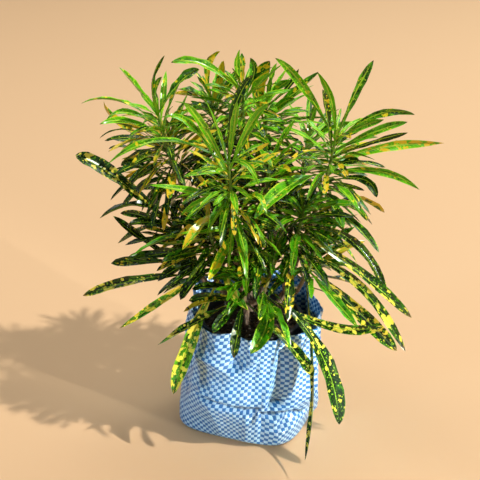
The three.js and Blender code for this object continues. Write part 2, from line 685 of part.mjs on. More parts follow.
// All leaves of the plant: the named ones first, then the rest in ranks from the lowest up.
function growLeaves() {
  const taken = [];
  for (const spec of CANES) {
    const [collar, trunk] = trunkPath(spec);
    const paths = SHOOTS.filter((s) => s.cane === spec.name).map((s) => branchPath(spec, s));
    for (const path of [trunk, ...paths])
      stemBoxes(path, CANE.footRadius, 6).forEach((box) => taken.push({ box, owner: spec.name }));
  }
  for (const shoot of SHOOTS) {
    const boxes = stemBoxes(shootPath(shoot), SHOOT.baseRadius + 1, 4);
    boxes.forEach((box) => taken.push({ box, owner: shoot.name, isNearRoot: true }));
  }
  const leaves = [];
  const shifts = [0, 8, -8, 16, -16, 24, -24, 32, -32, 40, -40];
  for (const entry of NAMED_LEAVES) {
    for (const shift of shifts) {
      const leaf = namedLeaf(entry, shift);
      if (takesRoom(leaf, taken)) {
        leaves.push(leaf);
        break;
      }
    }
  }
  const draw = randomSource(20);
  const tries = 26;
  const most = Math.max(...SHOOTS.map((s) => s.leaves));
  for (let rank = 0; rank < most; rank++) {
    SHOOTS.forEach((shoot, index) => {
      const mine = NAMED_LEAVES.filter((entry) => entry[0] === shoot.name).length;
      if (rank >= shoot.leaves - Math.floor(0.7 * mine)) return;
      const share = 0.04 + (0.95 * rank) / (shoot.leaves - 1);
      for (let k = 0; k < tries; k++) {
        const turn = rank * GOLDEN_TURN + index + k * 0.45;
        const leaf = grownLeaf(shoot, share, turn, k * 0.016, draw);
        if (takesRoom(leaf, taken)) {
          leaves.push(leaf);
          break;
        }
      }
    });
  }
  return leaves;
}

// A leaf tapers down to its heel, which is sunk past the middle of the stem.
function leafSolid(leaf) {
  const heel = leaf.path.getPoint(0).addScaledVector(leaf.path.getTangent(0), -SHOOT.tipRadius);
  return solidOf(skin(leafRings(leaf), heel, leaf.path.getPoint(1)));
}

function shoot(spec, leaves) {
  const { baseRadius, tipRadius, rings, sides } = SHOOT;
  const path = shootPath(spec);
  const lifted = path.getTangent(0).multiplyScalar(SEAT_GAP);
  path.v0.add(lifted);
  const stem = stemSolid(path, baseRadius, tipRadius, rings, sides);
  const blades = leaves.filter((leaf) => leaf.shoot === spec.name).map(leafSolid);
  const isFresh = spec.apex[2] > 320;
  const finish = material(isFresh ? COLOURS.freshLeaf : COLOURS.oldLeaf, 0.35);
  return meshOf(joined([stem, ...blades]), spec.name, finish);
}

// ---------------------------------------------------------------- the plant

const plant = new THREE.Group();
plant.name = "potted_croton";
plant.add(bag(), nurseryPot(), soil());
CANES.forEach((spec) => plant.add(cane(spec)));
const leaves = growLeaves();
SHOOTS.forEach((spec) => plant.add(shoot(spec, leaves)));

export default plant;
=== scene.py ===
"""The looks of a narrow-leaved croton in a nursery pot, inside a bag sewn from woven plastic.

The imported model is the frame: each piece made here stands for one of its nodes and stays inside it.
Sizes are millimetres, +Z is up, -Y is the front of the plant, and meshes are written in metres.
"""

import logging
import math
from collections.abc import Sequence
from dataclasses import dataclass, field, replace
from enum import Enum

import bpy
import numpy as np
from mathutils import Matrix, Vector, noise


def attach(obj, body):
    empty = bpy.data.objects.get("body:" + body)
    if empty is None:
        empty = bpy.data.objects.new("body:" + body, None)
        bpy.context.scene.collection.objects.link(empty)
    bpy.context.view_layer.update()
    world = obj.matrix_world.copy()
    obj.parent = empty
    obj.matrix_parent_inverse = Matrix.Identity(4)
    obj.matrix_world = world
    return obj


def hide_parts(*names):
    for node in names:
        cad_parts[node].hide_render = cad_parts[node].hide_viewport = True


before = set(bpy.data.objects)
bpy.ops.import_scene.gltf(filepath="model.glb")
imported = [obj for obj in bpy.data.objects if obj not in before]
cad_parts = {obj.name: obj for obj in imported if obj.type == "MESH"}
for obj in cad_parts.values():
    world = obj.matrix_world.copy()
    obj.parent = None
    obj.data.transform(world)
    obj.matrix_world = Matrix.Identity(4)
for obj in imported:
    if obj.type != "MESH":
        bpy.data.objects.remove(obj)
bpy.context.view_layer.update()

log = logging.getLogger("croton")

Piece = bpy.types.Object
Material = bpy.types.Material
Socket = bpy.types.NodeSocket
Array = np.ndarray
Triple = tuple[float, float, float]
Value = float | Socket
Colour = Triple | Socket
Given = dict[str | int, Value | Colour]  # what a node's inputs get, by name or number

MM = 0.001
BODY = "root"
GOLDEN_TURN = math.radians(137.5)  # from each leaf to the next round a stem
EAST = np.array([1.0, 0.0, 0.0])
YOUNG_ABOVE = 320.0  # shoots that end higher have young leaves


# ------------------------------------------------------------------ points and curves


def unit(v: Array) -> Array:
    """The vector at length one."""
    return v / np.linalg.norm(v)


def across(direction: Array, reference: Array) -> Array:
    """The part of a reference that is square to a direction, at length one."""
    return unit(reference - direction * np.dot(reference, direction))


def turned(v: Array, axis: Array, angle: float) -> Array:
    """A vector turned about an axis by an angle in radians."""
    c, s = math.cos(angle), math.sin(angle)
    return v * c + np.cross(axis, v) * s + axis * np.dot(axis, v) * (1 - c)


def eased(t: Array) -> Array:
    """A share from 0 to 1, clamped and smoothed at both ends."""
    t = np.clip(t, 0, 1)
    return t * t * (3 - 2 * t)


def wrapped(turn: Array) -> Array:
    """An angle in radians, brought to within half a turn of 0."""
    return turn - 2 * math.pi * np.round(turn / (2 * math.pi))


def ring_angles(spots: int) -> Array:
    """The angles of points spread evenly round a circle, in radians."""
    return np.arange(spots) / spots * 2 * math.pi


@dataclass(frozen=True)
class Bow:
    """A quadratic curve from a start to an end, bent towards one point."""

    start: Array
    bend: Array
    end: Array

    def point(self, t: float) -> Array:
        """The point at a share of the curve."""
        s = 1 - t
        return self.start * (s * s) + self.bend * (2 * s * t) + self.end * (t * t)

    def tangent(self, t: float) -> Array:
        """The direction at a share of the curve, at length one."""
        step = 1e-4
        return unit(self.point(min(1, t + step)) - self.point(max(0, t - step)))

    def length(self) -> float:
        """The curve's length, as the sum of 200 short chords."""
        shares = np.linspace(0, 1, 201)[:, None]
        rest = 1 - shares
        points = self.start * rest**2 + self.bend * (2 * rest * shares) + self.end * shares**2
        return float(np.linalg.norm(np.diff(points, axis=0), axis=1).sum())

    def rings(self, radii: Array) -> Array:
        """Rings of points round the curve, at equal steps of it.

        Args:
            radii: How far each spot of each ring is from the curve.

        Returns:
            One point for each ring and spot.
        """
        rings, spots = radii.shape
        angles = ring_angles(spots)[:, None]
        places = np.zeros((rings, spots, 3))
        for k in range(rings):
            t = k / (rings - 1)
            u = across(self.tangent(t), EAST)
            v = np.cross(self.tangent(t), u)
            places[k] = self.point(t) + radii[k][:, None] * (u * np.cos(angles) + v * np.sin(angles))
        return places


class Draw:
    """A repeatable source of numbers from 0 to 1, each the last one times a factor, modulo a prime."""

    factor = 48271
    prime = 2**31 - 1

    def __init__(self, seed: int) -> None:
        """Starts the source.

        Args:
            seed: Any whole number above 0.
        """
        self.state = seed

    def __call__(self) -> float:
        """The next number."""
        self.state = (self.state * self.factor) % self.prime
        return self.state / self.prime


# ------------------------------------------------------------------ meshes


def deselect() -> None:
    """Leaves nothing selected."""
    bpy.ops.object.select_all(action="DESELECT")


def activate(piece: Piece) -> None:
    """Makes one object the selected and active one."""
    deselect()
    piece.select_set(True)
    bpy.context.view_layer.objects.active = piece


@dataclass
class Tube:
    """A closed tube of rings, ready to be moved into any long or round shape."""

    piece: Piece
    ring: Array  # which ring each vertex belongs to
    spot: Array  # its place round that ring

    def shape(self, places: Array) -> None:
        """Moves every vertex to its place.

        Args:
            places: One point in millimetres for each ring and spot.
        """
        write_places(self.piece, places[self.ring, self.spot])


def write_places(piece: Piece, places: Array) -> None:
    """Writes a mesh's vertices, given in millimetres."""
    piece.data.vertices.foreach_set("co", (places * MM).astype(np.float32).ravel())
    piece.data.update()


def read_places(piece: Piece) -> Array:
    """A mesh's vertices, in millimetres."""
    places = np.zeros(len(piece.data.vertices) * 3)
    piece.data.vertices.foreach_get("co", places)
    return places.reshape(-1, 3) / MM


def make_tube(name: str, rings: int, spots: int) -> Tube:
    """Extrudes a disc upwards, ring by ring, into a closed tube.

    Args:
        name: The new object's name.
        rings: How many rings the tube has.
        spots: How many vertices each ring has.

    Returns:
        The tube, with where each vertex lies in it.
    """
    deselect()
    bpy.ops.mesh.primitive_circle_add(vertices=spots, radius=1, fill_type="NGON")
    piece = bpy.context.object
    piece.name = piece.data.name = name
    bpy.ops.object.mode_set(mode="EDIT")
    bpy.ops.mesh.select_all(action="SELECT")
    for _ in range(rings - 1):
        bpy.ops.mesh.extrude_region_move(TRANSFORM_OT_translate={"value": (0, 0, 1)})
    bpy.ops.mesh.select_all(action="SELECT")
    bpy.ops.mesh.normals_make_consistent(inside=False)
    bpy.ops.object.mode_set(mode="OBJECT")
    places = read_places(piece) * MM
    turn = np.arctan2(places[:, 1], places[:, 0]) % (2 * math.pi)
    ring = np.rint(places[:, 2]).astype(int)
    spot = np.rint(turn * spots / (2 * math.pi)).astype(int) % spots
    return Tube(piece, ring, spot)


def copy_of(piece: Piece, name: str) -> Piece:
    """A copy of an object with its own mesh."""
    twin = piece.copy()
    twin.data = piece.data.copy()
    twin.name = twin.data.name = name
    bpy.context.scene.collection.objects.link(twin)
    return twin


def discard(piece: Piece) -> None:
    """Removes an object and its mesh."""
    mesh = piece.data
    bpy.data.objects.remove(piece)
    bpy.data.meshes.remove(mesh)


def join(pieces: Sequence[Piece], name: str) -> Piece:
    """Joins objects into one.

    Args:
        pieces: The objects, the first of which stays.
        name: The joined object's name.

    Returns:
        The joined object.
    """
    activate(pieces[0])
    for piece in pieces:
        piece.select_set(True)
    bpy.ops.object.join()
    pieces[0].name = pieces[0].data.name = name
    return pieces[0]


def paint(piece: Piece, name: str, values: Array) -> None:
    """Stores a vector of three numbers for each vertex.

    Args:
        piece: The object whose mesh takes the attribute.
        name: The attribute's name, which materials read.
        values: One row of three numbers for each vertex.
    """
    layer = piece.data.attributes.new(name, "FLOAT_VECTOR", "POINT")
    layer.data.foreach_set("vector", values.astype(np.float32).ravel())


def smooth(piece: Piece, angle: float = 180) -> None:
    """Shades a piece smooth across edges flatter than an angle in degrees."""
    activate(piece)
    if angle >= 180:
        bpy.ops.object.shade_smooth()
    else:
        bpy.ops.object.shade_smooth_by_angle(angle=math.radians(angle))


def apply_modifiers(piece: Piece) -> None:
    """Applies every modifier of a piece, in order."""
    activate(piece)
    for modifier in list(piece.modifiers):
        bpy.ops.object.modifier_apply(modifier=modifier.name)


def settle(piece: Piece, slot: str, names: Sequence[str], *finishes: Material) -> None:
    """Dresses a finished piece and fixes it to the frame.

    Args:
        piece: The finished object.
        slot: A material slot's name, which is not used.
        names: The frame's nodes that it stands for.
        finishes: Its materials.
    """
    for finish in finishes:
        piece.data.materials.append(finish)
    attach(piece, BODY)
    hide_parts(*names)
    log.info("%s: %d faces", piece.name, len(piece.data.polygons))


# ------------------------------------------------------------------ shader nodes


class Wiring:
    """Adds nodes to a tree and links them, so that a pattern reads as a formula."""

    def __init__(self, tree: bpy.types.NodeTree) -> None:
        """Wires up one node tree.

        Args:
            tree: A material's or a group's tree.
        """
        self.tree = tree

    def node(self, kind: str, given: Given | None = None, **settings: object) -> bpy.types.Node:
        """A new node of a kind, with its properties set, and its inputs by name or number."""
        new = self.tree.nodes.new(kind)
        for key, value in settings.items():
            setattr(new, key, value)
        self.fill(new, given or {})
        return new

    def fill(self, node: bpy.types.Node, given: Given) -> None:
        """Links or sets a node's inputs, by name or number."""
        for key, value in given.items():
            self.feed(node.inputs[key], value)

    def feed(self, socket: Socket, value: object) -> None:
        """Links a socket to another, or gives it a value."""
        if isinstance(value, Socket):
            self.tree.links.new(value, socket)
        elif isinstance(value, tuple) and socket.type == "RGBA":
            socket.default_value = (*value, 1.0)
        else:
            socket.default_value = value

    def math(self, operation: str, a: Value, b: Value = 0.0) -> Socket:
        """A number worked out from one or two others."""
        return self.node("ShaderNodeMath", {0: a, 1: b}, operation=operation).outputs[0]

    def add(self, a: Value, b: Value) -> Socket:
        """The sum of two numbers."""
        return self.math("ADD", a, b)

    def times(self, a: Value, b: Value) -> Socket:
        """The product of two numbers."""
        return self.math("MULTIPLY", a, b)

    def less(self, a: Value, b: Value) -> Socket:
        """The first number less the second."""
        return self.math("SUBTRACT", a, b)

    def step(self, value: Value, low: Value, high: Value) -> Socket:
        """A soft step: 0 below the low value, 1 above the high one, turned round if low is higher."""
        given = {"Value": value, "From Min": low, "From Max": high}
        return self.node("ShaderNodeMapRange", given, interpolation_type="SMOOTHSTEP").outputs["Result"]

    def mix(self, share: Value, a: Colour, b: Colour, blend: str = "MIX") -> Socket:
        """A colour between two others, or one blended with another."""
        given = {0: share, 6: a, 7: b}
        new = self.node("ShaderNodeMix", given, data_type="RGBA", blend_type=blend, clamp_factor=True)
        return new.outputs[2]

    def between(self, share: Value, a: Value, b: Value) -> Socket:
        """A number between two others."""
        given = {0: share, 2: a, 3: b}
        return self.node("ShaderNodeMix", given, data_type="FLOAT", clamp_factor=True).outputs[0]

    def vector(self, x: Value, y: Value, z: Value) -> Socket:
        """A vector from three numbers."""
        return self.node("ShaderNodeCombineXYZ", {0: x, 1: y, 2: z}).outputs[0]

    def split(self, vector: Socket) -> tuple[Socket, Socket, Socket]:
        """The three numbers of a vector."""
        x, y, z = self.node("ShaderNodeSeparateXYZ", {0: vector}).outputs
        return x, y, z

    def attribute(self, name: str) -> tuple[Socket, Socket, Socket]:
        """The three numbers that a mesh stores under a name."""
        return self.split(self.node("ShaderNodeAttribute", attribute_name=name).outputs["Vector"])

    def place(self) -> Socket:
        """The place on the object, in metres."""
        return self.node("ShaderNodeTexCoord").outputs["Object"]

    def noise(self, where: Socket, scale: float, detail: float = 2.0, rough: float = 0.5) -> Socket:
        """A soft random number from 0 to 1 at a place."""
        given = {"Vector": where, "Scale": scale, "Detail": detail, "Roughness": rough}
        return self.node("ShaderNodeTexNoise", given).outputs["Fac"]

    def cells(self, where: Socket, scale: float) -> tuple[Socket, Socket]:
        """How far a place is from the nearest of many scattered points, and that point's own number."""
        new = self.node("ShaderNodeTexVoronoi", {"Vector": where, "Scale": scale})
        return new.outputs["Distance"], self.split(new.outputs["Color"])[0]

    def bump(self, height: Socket, distance: float) -> Socket:
        """A normal from a height that stands for so many metres."""
        return self.node("ShaderNodeBump", {"Height": height, "Distance": distance}).outputs["Normal"]

    def group(self, shared: bpy.types.NodeTree, **values: object) -> bpy.types.Node:
        """A shared group, with its inputs given by name."""
        return self.node("ShaderNodeGroup", values, node_tree=shared)


def new_group(
    name: str, inputs: dict[str, str], outputs: dict[str, str]
) -> tuple[bpy.types.NodeTree, Wiring, dict[str, Socket], dict[str, Socket]]:
    """An empty node group with named sockets.

    Args:
        name: The group's name.
        inputs: The kind of each input, by name.
        outputs: The kind of each output, by name.

    Returns:
        The group, its wiring, its inputs as they are read inside it, and the sockets that take its outputs.
    """
    tree = bpy.data.node_groups.new(name, "ShaderNodeTree")
    for direction, sockets in (("INPUT", inputs), ("OUTPUT", outputs)):
        for key, kind in sockets.items():
            tree.interface.new_socket(key, in_out=direction, socket_type="NodeSocket" + kind)
    wiring = Wiring(tree)
    given = wiring.node("NodeGroupInput").outputs
    taken = wiring.node("NodeGroupOutput").inputs
    return tree, wiring, {key: given[key] for key in inputs}, {key: taken[key] for key in outputs}


def new_material(name: str, **constants: object) -> tuple[Material, Wiring, bpy.types.Node]:
    """A material with a bare Principled shader.

    Args:
        name: The material's name.
        constants: Values for the shader's own sockets, with underscores for spaces.

    Returns:
        The material, its wiring and its shader.
    """
    material = bpy.data.materials.new(name)
    material.use_nodes = True
    wiring = Wiring(material.node_tree)
    shader = material.node_tree.nodes["Principled BSDF"]
    wiring.fill(shader, {key.replace("_", " "): value for key, value in constants.items()})
    return material, wiring, shader


# ------------------------------------------------------------------ finishes


@dataclass(frozen=True)
class WovenFinish:
    """Flat plastic tapes, blue one way and pale the other, woven over and under and laminated."""

    name: str
    blue: Triple
    pale: Triple
    roughness: float
    coat: float
    relief: float = 0.35 * MM  # how far a tape stands up where it crosses over

    def material(self) -> Material:
        """The finish as a material that reads the cloth's own squares."""
        material, wire, shader = new_material(
            self.name, Coat_Roughness=0.16, Specular_IOR_Level=0.5, Coat_IOR=1.45
        )
        squares = wire.node("ShaderNodeUVMap", uv_map="tapes").outputs["UV"]
        weave = wire.group(woven_tapes(), Squares=squares, Blue=self.blue, Pale=self.pale)
        place = wire.place()
        scuffs = wire.step(wire.noise(place, 160, 5, 0.6), 0.62, 0.75)
        grime = wire.step(wire.noise(place, 26, 4, 0.6), 0.35, 0.75)
        colour = wire.mix(wire.times(grime, 0.10), weave.outputs["Colour"], (0.42, 0.36, 0.34), "MULTIPLY")
        colour = wire.mix(wire.times(scuffs, 0.25), colour, (0.86, 0.88, 0.92))
        # Painted shade: the cloth is multiplied darker in narrow creases and along the foot where it meets
        # the floor.
        crease = wire.step(wire.attribute("crease")[0], 0.25, 1.0)
        colour = wire.mix(wire.times(crease, 0.8), colour, (0.16, 0.15, 0.14), "MULTIPLY")
        rough = wire.add(self.roughness, wire.times(grime, 0.14))
        relief = wire.bump(weave.outputs["Height"], self.relief)
        wire.fill(shader, {"Base Color": colour, "Roughness": rough, "Normal": relief})
        wire.fill(shader, {"Coat Weight": wire.times(wire.less(1.0, scuffs), self.coat)})
        return material


def woven_tapes() -> bpy.types.NodeTree:
    """The weave that both sides of the bag share. One unit of Squares is one tape's width."""
    name = "woven_tapes"
    if name in bpy.data.node_groups:
        return bpy.data.node_groups[name]
    tree, wire, given, taken = new_group(
        name,
        {"Squares": "Vector", "Blue": "Color", "Pale": "Color"},
        {"Colour": "Color", "Height": "Float"},
    )
    u, v, _ = wire.split(given["Squares"])
    wobble = wire.less(wire.noise(given["Squares"], 0.22, 2), 0.5)
    u, v = wire.add(u, wire.times(wobble, 0.5)), wire.add(v, wire.times(wobble, -0.35))
    waves = [wire.math("SINE", wire.times(way, math.pi)) for way in (u, v)]
    over = wire.step(wire.times(*waves), -0.12, 0.12)
    ridges = [wire.math("ABSOLUTE", wave) for wave in waves]
    seams = wire.step(wire.math("MINIMUM", *ridges), 0.30, 0.0)
    tape = wire.noise(wire.vector(wire.math("FLOOR", u), wire.math("FLOOR", v), 0.0), 3.1, 1)
    blue = wire.mix(wire.times(tape, 0.4), given["Blue"], (0.02, 0.19, 0.54))
    pale = wire.mix(wire.times(tape, 0.3), given["Pale"], (0.56, 0.78, 0.92))
    colour = wire.mix(over, blue, pale)
    colour = wire.mix(wire.times(seams, 0.2), colour, (0.10, 0.22, 0.45), "MULTIPLY")
    wire.feed(taken["Colour"], colour)
    wire.feed(taken["Height"], wire.math("POWER", wire.math("MINIMUM", *ridges), 0.6))
    return tree


@dataclass(frozen=True)
class BladeFinish:
    """Croton leaves: green blades with a pale rib, splashed and dotted with yellow."""

    name: str
    young: Triple
    ripe: Triple
    gold: Triple
    rib: Triple
    roughness: float

    def material(self) -> Material:
        """The finish as a material that reads each leaf's own age, gold and seed."""
        material, wire, shader = new_material(
            self.name,
            Specular_IOR_Level=0.2,
            Specular_Tint=(0.75, 1.0, 0.45),
            Coat_Roughness=0.22,
            Coat_Weight=0.6,
        )
        blade = wire.group(croton_blade(), Young=self.young, Ripe=self.ripe, Gold=self.gold, Rib=self.rib)
        rough = wire.add(self.roughness, blade.outputs["Dull"])
        relief = wire.bump(blade.outputs["Height"], 0.5 * MM)
        wire.fill(shader, {"Base Color": blade.outputs["Colour"], "Roughness": rough, "Normal": relief})
        return material


def croton_blade() -> bpy.types.NodeTree:
    """The pattern on every leaf and green stem.

    It reads "blade": how far across from the rib, how far along, and 1 on the underside;
    "look": age, gold and seed; and "span": half width and length in millimetres, and 1 on stems.
    """
    name = "croton_blade"
    if name in bpy.data.node_groups:
        return bpy.data.node_groups[name]
    tree, wire, given, taken = new_group(
        name,
        {"Young": "Color", "Ripe": "Color", "Gold": "Color", "Rib": "Color"},
        {"Colour": "Color", "Dull": "Float", "Height": "Float"},
    )
    side, along, under = wire.attribute("blade")
    age, gold, seed = wire.attribute("look")
    half, length, stem = wire.attribute("span")
    aside = wire.math("ABSOLUTE", side)
    x, y = wire.times(side, half), wire.times(along, length)
    off_rib = wire.math("ABSOLUTE", x)
    slant = wire.less(y, wire.times(off_rib, 0.9))  # side veins leave the rib towards the tip
    layer = wire.times(seed, 970)  # each leaf has its own slice of the noise
    ragged = wire.times(wire.less(wire.noise(wire.vector(x, y, layer), 0.9, 2), 0.5), 2.2)
    where = wire.vector(wire.add(x, ragged), wire.add(wire.times(y, 0.8), ragged), layer)

    # Splashes run together where there is much gold, and thin out to dots where there is little.
    patchy = wire.noise(where, 0.15, 1.0, 0.4)
    edge = wire.less(0.84, wire.times(gold, 0.42))
    splash = wire.step(patchy, edge, wire.add(edge, 0.03))
    apart, own = wire.cells(where, 0.25)
    dot_size = wire.times(wire.step(own, wire.less(1.0, gold), 1.2), 0.52)
    dots = wire.step(apart, wire.add(dot_size, 0.05), wire.less(dot_size, 0.03))
    dots = wire.times(dots, wire.step(dot_size, 0.04, 0.10))
    yellow = wire.math("MAXIMUM", splash, dots)
    fine_apart, fine_own = wire.cells(wire.vector(x, wire.times(y, 0.6), wire.times(seed, 430)), 0.6)
    specks = wire.times(wire.step(fine_apart, 0.42, 0.30), wire.step(fine_own, 0.72, 0.76))

    # Young leaves have a broad pale rib and a pale rim, and old ones only a thin rib.
    youth = wire.less(1.0, age)
    rib_wide = wire.add(0.28, wire.times(youth, 0.45))
    rib = wire.step(off_rib, wire.add(rib_wide, 0.35), rib_wide)
    rib = wire.times(rib, wire.step(along, 1.0, 0.72))
    rim = wire.times(wire.step(aside, 0.80, 0.94), wire.step(age, 0.6, 0.1))
    vein_gap = 4.2  # millimetres
    veins = wire.step(wire.math("SINE", wire.times(slant, 2 * math.pi / vein_gap)), 0.6, 1.0)
    faint = wire.times(veins, wire.add(0.03, wire.times(youth, 0.16)))

    # A leaf ripens in soft patches, first beside its rib, and some turn orange.
    shade = wire.noise(wire.vector(x, wire.times(y, 0.35), wire.times(seed, 310)), 0.3, 3, 0.6)
    patches = wire.times(wire.less(shade, 0.5), 2.2)
    ripeness = wire.add(wire.add(age, patches), wire.times(wire.less(0.6, aside), 0.35))
    green = wire.mix(wire.step(ripeness, 0.0, 0.9), given["Young"], given["Ripe"])
    green = wire.mix(faint, green, given["Rib"])
    orange = wire.math("MAXIMUM", wire.step(seed, 0.84, 1.0), wire.step(gold, 0.80, 0.95))
    warm = wire.mix(orange, given["Gold"], (0.86, 0.58, 0.02))
    colour = wire.mix(wire.times(specks, 0.8), green, given["Rib"])
    colour = wire.mix(yellow, colour, warm)
    colour = wire.mix(wire.times(wire.math("MAXIMUM", rib, rim), 0.75), colour, given["Rib"])

    # Some tips are dry and brown. The underside is paler, and the stem turns woody.
    is_dry = wire.step(wire.math("FRACT", wire.times(seed, 7.3)), 0.55, 0.60)
    dry = wire.times(wire.step(along, 0.955, 0.985), is_dry)
    colour = wire.mix(wire.times(dry, 0.8), colour, (0.10, 0.04, 0.02))
    pallor = wire.mix(0.38, colour, (0.26, 0.50, 0.05))
    colour = wire.mix(under, colour, pallor)
    woody = wire.mix(wire.step(age, 0.2, 0.9), (0.20, 0.30, 0.05), (0.20, 0.13, 0.07))
    colour = wire.mix(stem, colour, woody)
    wire.feed(taken["Colour"], colour)
    wire.feed(taken["Dull"], wire.add(wire.times(under, 0.22), wire.times(stem, 0.25)))
    groove = wire.less(wire.times(veins, 0.35), wire.step(off_rib, 1.1, 0.0))
    wire.feed(taken["Height"], wire.add(groove, wire.times(shade, 0.6)))
    return tree


@dataclass(frozen=True)
class BarkFinish:
    """Thin grey-brown bark, ringed where old leaves have dropped."""

    name: str = "cane_bark"

    def material(self) -> Material:
        """The finish as a material."""
        material, wire, shader = new_material(self.name, Specular_IOR_Level=0.3)
        place = wire.place()
        x, y, z = wire.split(place)
        drawn = wire.vector(x, y, wire.times(z, 0.25))
        grain = wire.noise(drawn, 420, 5, 0.65)
        bands = wire.noise(wire.vector(0.0, 0.0, z), 110, 3)
        base = wire.mix(wire.step(grain, 0.35, 0.65), (0.070, 0.040, 0.022), (0.25, 0.165, 0.095))
        base = wire.mix(wire.times(wire.step(bands, 0.55, 0.7), 0.6), base, (0.34, 0.27, 0.18))
        specks = wire.step(wire.cells(place, 520)[0], 0.20, 0.12)
        base = wire.mix(wire.times(specks, 0.7), base, (0.46, 0.38, 0.27))
        rough = wire.between(grain, 0.9, 0.6)
        relief = wire.bump(wire.add(grain, bands), 0.6 * MM)
        wire.fill(shader, {"Base Color": base, "Roughness": rough, "Normal": relief})
        return material


@dataclass(frozen=True)
class PotFinish:
    """Black moulded plastic, dusty, with a grain of fine scratches."""

    name: str = "pot_plastic"

    def material(self) -> Material:
        """The finish as a material."""
        material, wire, shader = new_material(self.name, Specular_IOR_Level=0.45)
        place = wire.place()
        x, y, z = wire.split(place)
        dust = wire.step(wire.noise(place, 60, 5, 0.65), 0.42, 0.72)
        scratches = wire.noise(wire.vector(x, y, wire.times(z, 9)), 240, 4)
        colour = wire.mix(wire.times(dust, 0.5), (0.012, 0.012, 0.013), (0.10, 0.08, 0.06))
        rough, relief = wire.between(dust, 0.38, 0.75), wire.bump(scratches, 0.08 * MM)
        wire.fill(shader, {"Base Color": colour, "Roughness": rough, "Normal": relief})
        return material


@dataclass(frozen=True)
class SoilFinish:
    """Dark potting soil with brown fibres and a few pale grains."""

    name: str = "potting_soil"

    def material(self) -> Material:
        """The finish as a material."""
        material, wire, shader = new_material(self.name, Specular_IOR_Level=0.25)
        place = wire.place()
        lumps = wire.noise(place, 180, 6, 0.7)
        crumbs, own = wire.cells(place, 330)
        colour = wire.mix(wire.step(lumps, 0.3, 0.7), (0.010, 0.006, 0.004), (0.062, 0.036, 0.020))
        colour = wire.mix(wire.step(own, 0.72, 0.9), colour, (0.14, 0.085, 0.045))
        grains = wire.times(wire.step(own, 0.95, 0.97), wire.step(crumbs, 0.5, 0.3))
        colour = wire.mix(grains, colour, (0.62, 0.58, 0.50))
        rough = wire.between(lumps, 0.95, 0.8)
        relief = wire.bump(wire.less(lumps, wire.times(crumbs, 0.8)), 2.5 * MM)
        wire.fill(shader, {"Base Color": colour, "Roughness": rough, "Normal": relief})
        return material


@dataclass(frozen=True)
class FloorFinish:
    """A plain pale floor."""

    name: str = "pale_floor"
    colour: Triple = (0.76, 0.495, 0.272)

    def material(self) -> Material:
        """The finish as a material."""
        return new_material(self.name, Base_Color=self.colour, Roughness=0.85, Specular_IOR_Level=0.2)[0]


# ------------------------------------------------------------------ bag


@dataclass(frozen=True)
class Plan:
    """A rounded rectangle seen from above, turned about Z. A squareness of 2 is an ellipse."""

    half_width: float
    half_depth: float
    squareness: float
    turn: float

    def radius(self, angle: Array) -> Array:
        """How far its edge is from the middle, at an angle in radians."""
        own = angle - math.radians(self.turn)
        x = np.abs(np.cos(own) / self.half_width) ** self.squareness
        y = np.abs(np.sin(own) / self.half_depth) ** self.squareness
        return (x + y) ** (-1 / self.squareness)


@dataclass(frozen=True)
class Fold:
    """A soft fold: degrees round from +X, height, push outwards, half lengths and tilt."""

    angle: float
    height: float
    push: float
    long: float
    wide: float
    tilt: float


@dataclass(frozen=True)
class Crest:
    """A sharp ridge or valley of the stiff cloth, along points of degrees round from +X and height.

    It is pushed out by its height, or in if that is negative, and fades over its reach.
    """

    points: tuple[tuple[float, float], ...]
    height: float
    reach: float
    edge: float = 1.0  # how rounded its own edge is
    gain: float = 1.6  # how much more than its height stiff cloth is pushed
    spread: float = 1.25  # how much further than its reach it fades
    wander: float = 0.9  # how far it strays from the straight way between its points
    narrows_within: float = 3  # nearer to its middle than this it strays less

    def push(self, angle: Array, z: Array, scale: float) -> Array:
        """How far it moves the wall.

        Args:
            angle: Angles round the wall, in radians.
            z: Heights.
            scale: The wall's radius, which turns an angle into a distance along it.

        Returns:
            The push at each angle and height.
        """
        centre = math.radians(self.points[0][0])
        around = wrapped(angle - centre) * scale
        spots = [((math.radians(a) - centre) * scale, h) for a, h in self.points]
        away = np.full(angle.shape, np.inf)
        for (ax, az), (bx, bz) in zip(spots, spots[1:]):
            run_x, run_z = bx - ax, bz - az
            share = ((around - ax) * run_x + (z - az) * run_z) / (run_x**2 + run_z**2)
            share = np.clip(share, 0, 1)
            away = np.minimum(away, np.hypot(around - ax - share * run_x, z - az - share * run_z))
        stray = self.wander * np.sin(angle * 41 + z * 0.21) * np.sin(z * 0.33 + angle * 17)
        away = np.abs(away + stray * np.minimum(1, away / self.narrows_within))
        rounded = np.sqrt(away**2 + self.edge**2) - self.edge
        return self.gain * self.height * np.exp(-rounded / (self.spread * self.reach))


FOLDS = [
    Fold(-84, 108, 4.5, 42, 7, 78),
    Fold(-99, 118, -3.5, 26, 9, 70),
    Fold(-68, 112, -3.5, 34, 9, 82),
    Fold(-117, 128, 3, 20, 12, 30),
    Fold(-62, 64, -6, 17, 11, 55),
    Fold(-96, 57, -5, 34, 5.5, -8),
    Fold(-98, 72, 3.5, 34, 9, -8),
    Fold(-55, 38, -4.5, 28, 5.5, 24),
    Fold(-60, 24, 3, 26, 8, 10),
    Fold(-35, 92, 4, 60, 9, 88),
    Fold(-12, 80, -4, 46, 14, 84),
    Fold(18, 58, -4.5, 34, 7, 18),
    Fold(34, 96, 3.5, 44, 8, 72),
    Fold(62, 60, -4.5, 36, 7, -14),
    Fold(88, 108, 3.5, 36, 8, 80),
    Fold(104, 46, -4, 30, 6, 12),
    Fold(128, 90, 3.5, 48, 9, 98),
    Fold(150, 62, -4.5, 34, 7, -20),
    Fold(172, 104, 3, 38, 10, 84),
    Fold(-162, 56, -4, 30, 8, 26),
    Fold(-142, 96, 3, 46, 10, 76),
]

